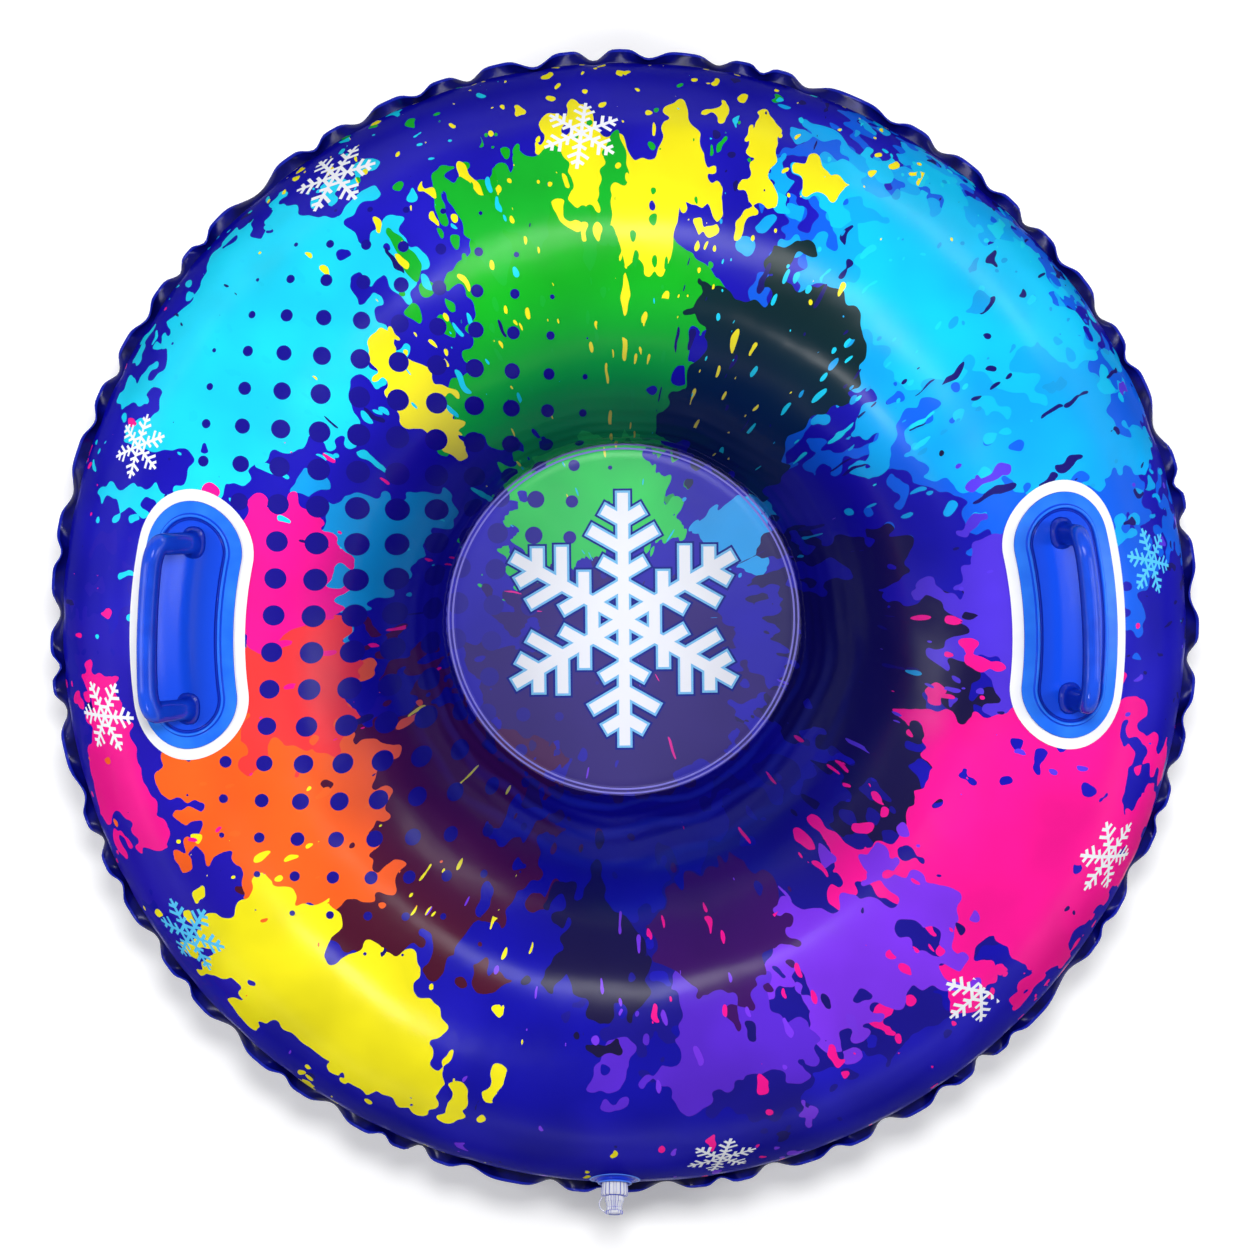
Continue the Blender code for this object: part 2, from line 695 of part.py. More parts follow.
def make_flap(frame, collection, material, guides):
    """The check flap inside the stem. It hangs by a tab at one side, and its origin is on that hinge."""
    lower, upper = flap_levels()
    hinge = STEM_RADIUS - STEM_WALL - CLEARANCE - FLAP_THICKNESS / 2
    centre = Matrix.Translation((0, 0, (lower + upper) / 2))
    at_hinge = frame @ centre @ Matrix.Translation((-hinge, 0, 0))
    build = bmesh.new()
    bmesh.ops.create_cone(
        build,
        cap_ends=True,
        segments=SMALL_ROUND_STEPS,
        radius1=FLAP_RADIUS,
        radius2=FLAP_RADIUS,
        depth=FLAP_THICKNESS,
    )
    bmesh.ops.translate(build, verts=build.verts, vec=(hinge, 0, 0))
    mesh = bpy.data.meshes.new("valve_flap")
    build.to_mesh(mesh)
    build.free()
    flap = add_object("valve_flap", mesh, collection, material, at_hinge)
    tab_build = bmesh.new()
    bmesh.ops.create_cube(tab_build, size=1)
    tab_length = hinge - FLAP_RADIUS + FLAP_TAB_OVERLAP
    bmesh.ops.scale(
        tab_build, verts=tab_build.verts, vec=(tab_length, FLAP_TAB_WIDTH, FLAP_TAB_THICKNESS)
    )
    bmesh.ops.translate(tab_build, verts=tab_build.verts, vec=(tab_length / 2, 0, 0))
    tab_mesh = bpy.data.meshes.new("valve_flap_tab")
    tab_build.to_mesh(tab_mesh)
    tab_build.free()
    tab = add_object("valve_flap_tab", tab_mesh, guides, matrix=at_hinge)
    combine(flap, hide_guide(tab), "UNION")
    return flap


def main():
    """Builds the tube, its handles and its valve."""
    empty_the_scene()
    tube = new_collection("snow_tube")
    guides = new_collection("cutters")
    printed = vinyl("printed_vinyl", PRINT_BLUE, 0.2)
    blue = vinyl("handle_vinyl", HANDLE_BLUE, 0.25)
    white = vinyl("patch_vinyl", PATCH_WHITE, 0.35)
    collar_blue = vinyl("collar_vinyl", COLLAR_BLUE, 0.25)
    clear = vinyl("clear_vinyl", CLEAR_VINYL, 0.15, alpha=0.5)

    top_skin = make_sheet("top_skin", top_profile(), tube, printed)
    make_sheet("bottom_skin", bottom_profile(), tube, printed)
    turn(profile_object("seat_floor", floor_profile(), tube, printed), TURN_STEPS)
    make_flange(tube, printed)

    handles = (
        ("left", math.pi - HANDLE_FORWARD_ANGLE, LEFT_LEAN),
        ("right", HANDLE_FORWARD_ANGLE, RIGHT_LEAN),
    )
    for side, azimuth, lean in handles:
        make_patch(side, azimuth, tube, white)
        make_base(side, azimuth, tube, blue, guides)
        make_grip(side, azimuth, lean, tube, blue, guides)

    frame = valve_frame()
    cut_valve_hole(top_skin, frame, guides)
    make_collar(frame, sheet_envelope(guides), tube, collar_blue)
    make_stem(frame, tube, clear)
    make_plug(frame, tube, clear)
    make_tether(frame, tube, clear)
    make_flap(frame, tube, clear, guides)


main()
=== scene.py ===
"""The looks of a round inflatable snow tube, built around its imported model.

Metres, +Z up, with the origin on the tube's axis at floor level. The handles are near -X and +X and the
valve is near -Y. The printed sheets, the moulded handles and the clear valve are modelled here as fine
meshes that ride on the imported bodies.
"""

import logging
import math
from collections.abc import Sequence
from dataclasses import dataclass
from enum import Enum
from typing import Any

import bmesh
import bpy
import numpy as np
from mathutils import Matrix, Vector


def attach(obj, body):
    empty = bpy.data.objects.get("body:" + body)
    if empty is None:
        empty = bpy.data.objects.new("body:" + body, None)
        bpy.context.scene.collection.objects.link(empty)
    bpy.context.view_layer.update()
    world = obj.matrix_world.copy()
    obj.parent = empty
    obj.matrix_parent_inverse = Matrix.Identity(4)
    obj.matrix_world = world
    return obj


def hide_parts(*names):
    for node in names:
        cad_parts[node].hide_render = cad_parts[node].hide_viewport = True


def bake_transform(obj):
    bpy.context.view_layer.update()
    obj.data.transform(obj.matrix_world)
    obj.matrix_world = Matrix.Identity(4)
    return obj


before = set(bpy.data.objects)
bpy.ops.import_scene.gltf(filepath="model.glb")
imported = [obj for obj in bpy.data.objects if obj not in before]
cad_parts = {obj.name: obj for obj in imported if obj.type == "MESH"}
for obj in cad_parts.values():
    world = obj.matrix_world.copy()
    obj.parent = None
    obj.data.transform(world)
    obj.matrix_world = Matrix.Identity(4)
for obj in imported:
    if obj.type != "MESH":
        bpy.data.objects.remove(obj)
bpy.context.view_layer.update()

MM = 0.001
WELD_DISTANCE = 0.001 * MM
CURVE_STEPS = 60
TOP_SHEET = "printed_top_sheet"

# The mesh layers that the finishes read: where a point lies on the flat print, and its share of accent, a
# painted shade or highlight.
FLAT_MAP = "sheet"
ACCENT = "accent"

# How the gloss of the vinyl fades, by how far a face is turned away: 0 faces the eye and 1 is edge-on.
MATT_ROUGHNESS = 0.6
GLOSS_FADES = (0.06, 0.6)
GLOSS_RETURNS = (0.84, 0.98)
RIM_MATT_SHARE = 0.45

Tree = bpy.types.NodeTree
Socket = bpy.types.NodeSocket
Material = bpy.types.Material
Piece = bpy.types.Object
Point = Sequence[float]

log = logging.getLogger("snow_tube")


def linear(hex_color: str) -> tuple[float, float, float, float]:
    """Turns an sRGB hex colour into the linear values that shaders take.

    Args:
        hex_color: The colour as "#rrggbb".

    Returns:
        Linear red, green and blue, and an alpha of 1.
    """
    levels = [int(hex_color[place : place + 2], 16) / 255 for place in (1, 3, 5)]
    bent = [c / 12.92 if c <= 0.04045 else ((c + 0.055) / 1.055) ** 2.4 for c in levels]
    return (bent[0], bent[1], bent[2], 1.0)


def add_node(
    tree: Tree, kind: str, inputs: dict | None = None, output: int = 0, **settings: Any
) -> Socket | None:
    """Adds one shader node with its settings, values and links.

    Args:
        tree: The node tree that gets the node.
        kind: The node's type without ShaderNode, such as Math.
        inputs: A value or a socket for each input, by its number or name.
        output: The number of the output that is wanted.
        **settings: The node's own properties.

    Returns:
        The wanted output socket, or None for a node that has none.
    """
    node = tree.nodes.new(f"ShaderNode{kind}")
    for name, value in settings.items():
        setattr(node, name, value)
    for key, value in (inputs or {}).items():
        if isinstance(value, Socket):
            tree.links.new(value, node.inputs[key])
        else:
            node.inputs[key].default_value = value
    return node.outputs[output] if node.outputs else None


def new_material(name: str) -> tuple[Material, Tree]:
    """Starts an empty material.

    Args:
        name: The material's name.

    Returns:
        The material and its node tree, with nothing in it.
    """
    material = bpy.data.materials.new(name)
    material.use_nodes = True
    material.node_tree.nodes.clear()
    return material, material.node_tree


def loft(name: str, rings: np.ndarray, closed_rows: bool = False) -> Piece:
    """Makes a surface through rings of points, each ring closed on itself.

    Args:
        name: The object's name.
        rings: Points as an array of rows, columns and 3.
        closed_rows: Whether the last ring joins the first, as round a closed section.

    Returns:
        The new object, shaded smooth.
    """
    rows, columns = rings.shape[:2]
    index = np.arange(rows * columns).reshape(rows, columns)
    if closed_rows:
        index = np.vstack((index, index[:1]))
    index = np.hstack((index, index[:, :1]))
    quads = np.stack((index[:-1, :-1], index[1:, :-1], index[1:, 1:], index[:-1, 1:]), -1)
    mesh = bpy.data.meshes.new(name)
    mesh.from_pydata(rings.reshape(-1, 3).tolist(), [], quads.reshape(-1, 4).tolist())
    mesh.shade_smooth()
    item = bpy.data.objects.new(name, mesh)
    bpy.context.scene.collection.objects.link(item)
    return item


def weld(item: Piece) -> Piece:
    """Joins the points that lie on each other, such as those of a ring that has closed to a point.

    Args:
        item: The object whose mesh is cleaned.

    Returns:
        The same object, with its faces pointing out.
    """
    build = bmesh.new()
    build.from_mesh(item.data)
    bmesh.ops.remove_doubles(build, verts=build.verts, dist=WELD_DISTANCE)
    bmesh.ops.dissolve_degenerate(build, edges=build.edges, dist=WELD_DISTANCE)
    bmesh.ops.recalc_face_normals(build, faces=build.faces)
    build.to_mesh(item.data)
    build.free()
    item.data.shade_smooth()
    return item


def rounded(points: Sequence[Point], radius: float, steps: int = 4) -> np.ndarray:
    """Rounds the corners of an open line.

    Args:
        points: The line's corners, in two or three dimensions.
        radius: How far from a corner the rounding starts, where the sides are long enough.
        steps: Points along each rounded corner.

    Returns:
        The rounded line's points.
    """
    corners = np.array(points, float)
    line = [corners[0]]
    for before, corner, after in zip(corners, corners[1:], corners[2:]):
        back, ahead = before - corner, after - corner
        reach_back = min(radius, np.linalg.norm(back) / 2)
        reach_ahead = min(radius, np.linalg.norm(ahead) / 2)
        start = corner + back / np.linalg.norm(back) * reach_back
        end = corner + ahead / np.linalg.norm(ahead) * reach_ahead
        for t in np.linspace(0, 1, steps + 1):
            line.append((1 - t) ** 2 * start + 2 * t * (1 - t) * corner + t * t * end)
    line.append(corners[-1])
    return np.array(line)


def cubic(start: Point, first: Point, second: Point, end: Point) -> np.ndarray:
    """Points along one cubic curve.

    Args:
        start: Where it starts.
        first: The start's handle.
        second: The end's handle.
        end: Where it ends.

    Returns:
        Closely spaced points on the curve.
    """
    t = np.linspace(0, 1, CURVE_STEPS)[:, None]
    a, b, c, d = (np.array(p, float) for p in (start, first, second, end))
    return (1 - t) ** 3 * a + 3 * t * (1 - t) ** 2 * b + 3 * t * t * (1 - t) * c + t**3 * d


def line_lengths(line: np.ndarray) -> np.ndarray:
    """Distance along a line to each of its points."""
    return np.concatenate(([0], np.cumsum(np.linalg.norm(np.diff(line, axis=0), axis=1))))


def spaced(line: np.ndarray, count: int, crowd: float = 0.0) -> np.ndarray:
    """Points at even steps along a line, or crowded towards its ends.

    Args:
        line: The line's points.
        count: How many points are wanted.
        crowd: From 0, even steps, to 1, as close at the ends as a half circle's shadow.

    Returns:
        The new points.
    """
    lengths = line_lengths(line)
    t = np.linspace(0, 1, count)
    t = (1 - crowd) * t + crowd * (1 - np.cos(math.pi * t)) / 2
    return np.stack([np.interp(t * lengths[-1], lengths, side) for side in line.T], 1)


def directions(line: np.ndarray) -> np.ndarray:
    """Unit directions along a line, one at each of its points."""
    way = np.gradient(line, axis=0)
    return way / np.linalg.norm(way, axis=1)[:, None]


def line_normals(line: np.ndarray) -> np.ndarray:
    """Unit normals of a (radius, height) line, on the left of its way."""
    way = directions(line)
    return np.stack((-way[:, 1], way[:, 0]), 1)


def around(radius: np.ndarray | float, height: np.ndarray | float, angle: np.ndarray) -> np.ndarray:
    """Points around an upright axis.

    Args:
        radius: Distances from the axis.
        height: Heights.
        angle: Angles about the axis.

    Returns:
        The points, as an array with a last side of 3.
    """
    return np.stack(np.broadcast_arrays(radius * np.cos(angle), radius * np.sin(angle), height), -1)


def squared_circle(angle: np.ndarray, power: float) -> tuple[np.ndarray, np.ndarray]:
    """A round section of radius 1 that goes towards a square.

    Args:
        angle: Angles around it.
        power: 2 is a circle, and more is squarer.

    Returns:
        Its two coordinates.
    """
    cosine, sine = np.cos(angle), np.sin(angle)
    reach = 1 / (np.abs(cosine) ** power + np.abs(sine) ** power) ** (1 / power)
    return cosine * reach, sine * reach


def capped(path: np.ndarray, rings: np.ndarray) -> np.ndarray:
    """Closes the rings along a path with a ring at each end that lies in one point.

    Args:
        path: The path's points, one to a ring.
        rings: The rings, as an array of rows, columns and 3.

    Returns:
        The rings with the two new ones.
    """
    first, last = (np.repeat(path[row][None, None], rings.shape[1], 1) for row in (0, -1))
    return np.vstack((first, rings, last))


@dataclass(frozen=True)
class SoftNoise:
    """A smooth random line around the tube, within about -1 and 1.

    waves says how many times each of its sine waves goes around, and seed picks their phases and weights.
    """

    waves: tuple[int, ...]
    seed: int

    def at(self, theta: np.ndarray) -> np.ndarray:
        """The line's height around the tube.

        Args:
            theta: Angles around the tube.

        Returns:
            One value for each angle.
        """
        random = np.random.default_rng(self.seed)
        total = np.zeros_like(theta)
        for number in self.waves:
            total += random.uniform(0.5, 1) * np.sin(number * theta + random.uniform(0, 2 * math.pi))
        return total / math.sqrt(len(self.waves))


@dataclass
class InflatedSection:
    """The tube's blown-up cross-section, from the seat floor over the crown to the rim and back below."""

    crown_radius: float = 347 * MM
    section_radius: float = 160 * MM
    equator_height: float = 140 * MM
    shoulder_angle: float = math.radians(15)
    shoulder_reach: float = 70 * MM
    wall_reach: float = 110 * MM
    wall_lean: float = math.radians(3.4)
    standing_outer: float = 385 * MM
    standing_inner: float = 300 * MM
    heel_reach: float = 80 * MM
    seam_angle: float = math.radians(6.4)
    seam_gap: float = 1.1 * MM
    floor_height: float = 55 * MM
    floor_thickness: float = 1.6 * MM
    floor_radius: float = 165 * MM
    weld_gap: float = 0.3 * MM
    upstand: float = 4 * MM
    least_print_share: float = 0.35
    crown_steps: int = 200
    belt_steps: int = 12
    turn_steps: int = 60

    def arc(self, angle: float | np.ndarray, lift: float = 0.0) -> np.ndarray:
        """Points on the round arc.

        Args:
            angle: Angle or angles above level, from the section's middle.
            lift: Distance off the sheet.

        Returns:
            (radius, height) for each angle.
        """
        reach = self.section_radius + lift
        radius = self.crown_radius + reach * np.cos(angle)
        return np.stack((radius, self.equator_height + reach * np.sin(angle)), -1)

    def top_line(self) -> np.ndarray:
        """The top sheet's outer line, from the seat floor over the crown to the rim.

        Returns:
            (radius, height) points.
        """
        shoulder = self.arc(math.pi / 2 + self.shoulder_angle)
        bow = self.shoulder_reach * np.array((math.cos(self.shoulder_angle), math.sin(self.shoulder_angle)))
        weld_point = np.array((self.floor_radius, self.floor_height + self.weld_gap))
        foot = weld_point + (0, self.upstand)
        rise = self.wall_reach * np.array((math.sin(self.wall_lean), math.cos(self.wall_lean)))
        wall = cubic(foot, foot + rise, shoulder - bow, shoulder)
        gap = self.seam_gap / self.section_radius
        angles = np.linspace(math.pi / 2 + self.shoulder_angle, self.seam_angle + gap, self.crown_steps)
        return np.vstack((weld_point[None], wall[:-1], self.arc(angles)))

    def bottom_line(self) -> np.ndarray:
        """The bottom sheet's outer line, from the rim round the standing ring to the seat floor.

        Returns:
            (radius, height) points.
        """
        gap = self.seam_gap / self.section_radius
        belt = self.arc(np.linspace(self.seam_angle - gap, 0, self.belt_steps))
        reach = self.crown_radius + self.section_radius - self.standing_outer
        turn = np.linspace(0, math.pi / 2, self.turn_steps)[1:]
        radius = self.standing_outer + reach * np.cos(turn)
        side = np.stack((radius, self.equator_height * (1 - np.sin(turn))), 1)
        weld_point = np.array((self.floor_radius, self.floor_height - self.floor_thickness - self.weld_gap))
        foot = weld_point - (0, self.upstand)
        inner = np.array((self.standing_inner, 0))
        heel = cubic(inner, inner - (self.heel_reach, 0), (foot[0], foot[1] / 2), foot)
        return np.vstack((belt, side, inner[None], heel[1:], weld_point[None]))

    def print_radii(self, line: np.ndarray) -> np.ndarray:
        """How far from the sheet's middle each point of the top line lies on the flat print.

        On the round arc that is the length along the sheet. On the steep seat wall the print is drawn
        closer together, so that it runs on into the seat floor.

        Args:
            line: (radius, height) points from the seat floor to the rim.

        Returns:
            One print radius for each point.
        """
        step = np.diff(line, axis=0)
        length = np.linalg.norm(step, axis=1)
        share = np.maximum(np.abs(step[:, 0]) / length, self.least_print_share)
        share[line[1:, 0] > self.crown_radius] = 1
        return self.floor_radius + np.concatenate(([0], np.cumsum(share * length)))


@dataclass
class Pucker:
    """The irregular gathers of the rim weld, which the sheets and the ruffle share."""

    folds: int = 60
    drift: float = 0.85
    drift_noise: SoftNoise = SoftNoise((7, 11, 17, 23), 3)
    mean_strength: float = 0.75
    strength_swing: float = 0.35
    strength_noise: SoftNoise = SoftNoise((5, 9, 14), 8)
    strength_limits: tuple[float, float] = (0.2, 1.2)
    pinch_depth: float = 1.8 * MM
    pinch_power: float = 7.0

    def half_phase(self, theta: np.ndarray) -> np.ndarray:
        """Angle of the ruffle's swing at each angle around the rim."""
        return self.folds * theta / 2 + self.drift * self.drift_noise.at(theta)

    def pinch(self, theta: np.ndarray) -> np.ndarray:
        """How strongly the rim is drawn in, from 0 to about 1 in each valley.

        Args:
            theta: Angles around the rim.

        Returns:
            One share for each angle.
        """
        strength = self.mean_strength + self.strength_swing * self.strength_noise.at(theta)
        valley = np.abs(np.sin(self.half_phase(theta))) ** self.pinch_power
        return valley * np.clip(strength, *self.strength_limits)


def glossy_to_matt(tree: Tree, face: dict[str, Any], rough: Socket, ior: float, most: float) -> Socket:
    """Glossy vinyl whose gloss fades where it turns away, as through a polarising filter.

    A thin line of the gloss comes back at the very rim.

    Args:
        tree: The material's node tree.
        face: The colour and normal, by socket name.
        rough: The gloss's roughness.
        ior: The gloss's index of refraction.
        most: How much of the gloss is gone before the rim.

    Returns:
        The shader's socket.
    """
    glossy = add_node(tree, "BsdfPrincipled", {**face, "Roughness": rough, "IOR": ior})
    dull = {"Roughness": MATT_ROUGHNESS, "Specular IOR Level": 0.0}
    matt = add_node(tree, "BsdfPrincipled", {**face, **dull})
    turned = add_node(tree, "LayerWeight", {0: 0.5}, 1)
    fading = {0: turned, 1: GLOSS_FADES[0], 2: GLOSS_FADES[1], 3: 0.0, 4: most}
    share = add_node(tree, "MapRange", fading, interpolation_type="SMOOTHSTEP")
    returning = {0: turned, 1: GLOSS_RETURNS[0], 2: GLOSS_RETURNS[1], 3: 1.0, 4: RIM_MATT_SHARE}
    grazing = add_node(tree, "MapRange", returning)
    share = add_node(tree, "Math", {0: share, 1: grazing}, operation="MULTIPLY")
    return add_node(tree, "MixShader", {0: share, 1: glossy, 2: matt})


@dataclass(frozen=True)
class Ripple:
    """One size of unevenness in a face, from its real size and depth in millimetres."""

    size_mm: float
    depth_mm: float
    strength: float
    detail: float = 2.0
    octave_share: float = 0.5


def rippled(tree: Tree, ripples: Sequence[Ripple]) -> tuple[list[Socket], Socket]:
    """Gives a face its unevenness, ripple on ripple.

    Args:
        tree: The material's node tree.
        ripples: The unevenness, from the coarsest to the finest.

    Returns:
        Each ripple's random field, and the bumped normal.
    """
    place = add_node(tree, "TexCoord", output=3)
    fields: list[Socket] = []
    below: dict[str, Socket] = {}
    for ripple in ripples:
        scale = 1 / (ripple.size_mm * MM)
        noise = {0: place, "Scale": scale, "Detail": ripple.detail, "Roughness": ripple.octave_share}
        fields.append(add_node(tree, "TexNoise", noise))
        push = {"Height": fields[-1], "Strength": ripple.strength, "Distance": ripple.depth_mm * MM}
        below = {"Normal": add_node(tree, "Bump", {**push, **below})}
    return fields, below["Normal"]


class SheetFace(Enum):
    """The printed faces, which differ in what lies in their middle and in a pale haze over the seat, partly
    its milky sheet and partly a painted sheen.
    """

    TUBE = "tube"
    SEAT = "seat"


@dataclass(frozen=True)
class Blot:
    """One patch of printed paint: an ellipse on the flat sheet whose edge is broken up into splashes.

    The azimuth is in degrees from +X towards +Y, and the lengths are millimetres on the flat sheet.
    """

    color: str
    azimuth: float
    radius: float
    reach: float
    spread: float
    splash: float = 2.1
    drips: float = 0.6


@dataclass(frozen=True)
class Scatter:
    """Droplets that are drawn out from the middle: cell size in millimetres, fill and where they crowd.

    kept is the share of the cells with a droplet, and crowded is that share near the azimuth, in degrees.
    Droplets with no ink of their own take that of the zone they lie in.
    """

    across_mm: float
    along_mm: float
    shift: float
    largest: float
    kept: float
    crowded: float
    azimuth: float
    ink: str | None = None


@dataclass(frozen=True)
class PrintedVinyl:
    """Calendered PVC sheet, gravure-printed with a generic paint-splash pattern and left glossy.

    Calendering leaves a faint orange peel, which bends the lamps' streaks. Gravure lays flat crisp inks
    over an airbrushed blue. The film's own grain is far finer than a pixel and is drawn as 1.4 mm.
    """

    base: str = "#150db2"
    base_light: str = "#2a22da"
    base_deep: str = "#0a08a4"
    # Painted shade on the outer flank near the rim.
    rim_shade: str = "#0808a4"
    front_to_valve_mm: tuple[float, float] = (150.0, -560.0)
    rim_from_mm: tuple[float, float] = (470.0, 600.0)
    airbrush_mm: float = 150.0
    airbrush_band: tuple[float, float] = (0.45, 0.72)
    airbrush_share: float = 0.55
    wash_mm: float = 85.0
    wash_band: tuple[float, float] = (0.35, 0.65)
    wash_density: tuple[float, float] = (0.86, 1.05)
    lump_sizes_mm: tuple[float, float] = (70.0, 48.0)
    lump_shifts: tuple[float, float] = (0.0, 40.0)
    drip_cell_mm: tuple[float, float] = (24.0, 100.0)
    crumb_mm: float = 15.0
    spray_share: float = 0.8
    streak_ring_mm: float = 450.0
    droplet_power: float = 1.8
    droplet_raggedness: float = 0.7
    droplets_from_mm: tuple[float, float] = (150.0, 330.0)
    inner_droplets: float = 0.08
    # The cosines of the angles from its azimuth at which a scatter starts to crowd and is fully crowded.
    crowding_from: tuple[float, float] = (0.5, 0.85)
    # Painted shade: the print is darkened down the seat wall, where the well lies in shade.
    well_shade: str = "#04065c"
    well_shade_share: float = 0.62
    well_shade_from_mm: tuple[float, float] = (185.0, 345.0)
    # Painted highlights: thin pale waves on the seat wall, as light caught by the stretched sheet's
    # ripples, on the valve's side only.
    wave_highlight: str = "#2c46f4"
    wave_highlight_share: float = 0.17
    wave_crest: float = 0.2
    wave_spacing_mm: float = 21.0
    wave_wander_mm: float = 34.0
    wander_size_mm: float = 90.0
    waves_end_mm: tuple[float, float] = (178.0, 236.0)
    waves_front_mm: tuple[float, float] = (20.0, -190.0)
    # A pale haze over the seat: partly the seat sheet's own milky look, partly a painted sheen of the light
    # above.
    haze_and_sheen: str = "#8f8ae0"
    haze_and_sheen_share: float = 0.16
    # Painted highlights: two pale lines on the ridges of the seat's double weld.
    weld_highlight: str = "#8c86e6"
    weld_highlight_radii_mm: tuple[float, float] = (159.0, 163.0)
    weld_highlight_half_mm: float = 0.9
    dot_color: str = "#150c8e"
    dot_spacing_mm: float = 33.5
    dot_grid_shift: tuple[float, float, float] = (0.13, 0.31, 0)
    dot_grid_turn: float = math.radians(4)
    dot_fading_power: float = 3.6
    largest_dot_share: float = 0.35
    # The dot field's middle and half sizes on the flat sheet, in millimetres.
    dot_region: tuple[float, float, float, float] = (-215.0, 60.0, 255.0, 420.0)
    flake_white: str = "#f6f8ff"
    flake_blue: str = "#58ccff"
    # One snow crystal to each twelfth of the ring, from +X on: where it lies in its twelfth, where between
    # the ring's two radii, its turn in radians and its size, which is 0 where there is none.
    flake_table: tuple[tuple[float, float, float, float], ...] = (
        (0.76, 0.45, 0.3, 0.9),
        (0.3, 0.8, 0.8, 0.0),
        (0.6, 0.6, 0.5, 0.0),
        (0.66, 0.12, 0.2, 1.0),
        (0.56, 0.66, 0.9, 1.15),
        (0.76, 0.36, 0.4, 0.85),
        (0.76, 0.44, 0.1, 1.0),
        (0.62, 0.5, 0.7, 1.1),
        (0.9, 0.2, 0.5, 0.0),
        (0.82, 0.62, 0.35, 0.95),
        (0.98, 0.1, 0.6, 1.05),
        (0.66, 0.52, 0.85, 1.1),
    )
    blue_flakes: tuple[int, ...] = (0, 7)
    flake_ring_mm: tuple[float, float] = (450.0, 545.0)
    flake_radius_mm: float = 36.0
    least_flake_mm: float = 0.001
    # Where each of a crystal's bars leaves the arm and how long it is, in radii, and its turn in degrees.
    flake_bars: tuple[tuple[float, float, float], ...] = (
        (0.0, 1.0, 0),
        (0.28, 0.14, 120),
        (0.36, 0.2, 60),
        (0.56, 0.3, 60),
        (0.78, 0.18, 60),
    )
    flake_line_share: float = 0.085
    seat_flake_radius_mm: float = 118.0
    seat_flake_turn: float = math.radians(30)
    # The seat's crystal has a dark and a pale edge, by how far each stands out from its bars.
    seat_flake_inks: tuple[tuple[float, str], ...] = (
        (0.034, "#26318f"),
        (0.018, "#7ec4f4"),
        (0.0, "#f6f8ff"),
    )
    ior: float = 1.46
    roughness: tuple[float, float] = (0.19, 0.28)
    matt_share: float = 0.95
    peel: Ripple = Ripple(26.0, 1.2, 0.3, 1.5)
    grain: Ripple = Ripple(1.4, 0.1, 0.08, 2.0, 0.6)
    scatters: tuple[Scatter, ...] = (
        Scatter(17, 46, 0.0, 0.36, 0.1, 0.6, 38, "#150e70"),
        Scatter(9, 70, 2.3, 0.3, 0.03, 0.3, 30, "#150e70"),
        Scatter(14, 27, 3.7, 0.36, 0.34, 0.7, 95),
        Scatter(21, 62, 8.1, 0.36, 0.24, 0.55, 80),
        Scatter(11, 20, 5.2, 0.38, 0.14, 0.75, 90),
    )
    # The droplets' inks around the tube, from -X over the valve and back, by the turn at which each starts.
    zones: tuple[tuple[float, str], ...] = (
        (0.0, "#ff1298"),
        (0.05, "#ff6a22"),
        (0.1, "#fff21a"),
        (0.19, "#7b38f0"),
        (0.3, "#ff1298"),
        (0.47, "#5a39ea"),
        (0.53, "#10a4ee"),
        (0.63, "#18d6fb"),
        (0.69, "#fff21a"),
        (0.75, "#12b52c"),
        (0.78, "#fff21a"),
        (0.83, "#18d6fb"),
        (0.95, "#ff1298"),
    )
    zone_blur: float = 0.12
    blots: tuple[Blot, ...] = (
        Blot("#1e10b0", 200, 420, 150, 210, 1.4, 0.3),
        Blot("#171090", 300, 330, 120, 190, 1.4, 0.3),
        Blot("#0b62f0", 36, 420, 150, 230),
        Blot("#08aefc", 42, 424, 124, 200),
        Blot("#0cc8ff", 47, 430, 92, 140),
        Blot("#1adaff", 141, 430, 104, 160),
        Blot("#10a0ee", 161, 262, 62, 62, 2.4),
        Blot("#0eb41e", 97, 292, 150, 112),
        Blot("#2ee040", 108, 120, 62, 92, 2.4, 0.5),
        Blot("#20b4ff", 38, 134, 36, 34, 2.0, 0.5),
        Blot("#fff21a", 86, 424, 58, 116, 2.2, 3.4),
        Blot("#12b52c", 104, 402, 44, 70, 2.0, 3.0),
        Blot("#fff21a", 130, 300, 74, 24, 2.8),
        Blot("#03282e", 63, 268, 96, 68),
        Blot("#160f40", 352, 228, 92, 120),
        Blot("#5234e0", 4, 346, 58, 88, 2.6),
        Blot("#ff1298", 331, 424, 140, 146, 2.3, 1.0),
        Blot("#7d35ee", 306, 350, 66, 88, 2.6),
        Blot("#5c2ad6", 283, 372, 58, 86, 2.8, 1.0),
        Blot("#3c0c62", 289, 286, 60, 60, 2.6),
        Blot("#4e0e2c", 217, 252, 116, 124),
        Blot("#ff6420", 202, 338, 92, 106),
        Blot("#ff3c3c", 184, 306, 54, 68),
        Blot("#ff1298", 168, 330, 58, 74, 2.3, 1.0),
        Blot("#ff1298", 193, 498, 40, 80, 2.8, 1.4),
        Blot("#fff21a", 229, 430, 70, 128, 2.5, 1.6),
        Blot("#160f40", 262, 300, 62, 40, 2.6),
        Blot("#2a1468", 262, 62, 104, 120, 1.4, 0.3),
    )

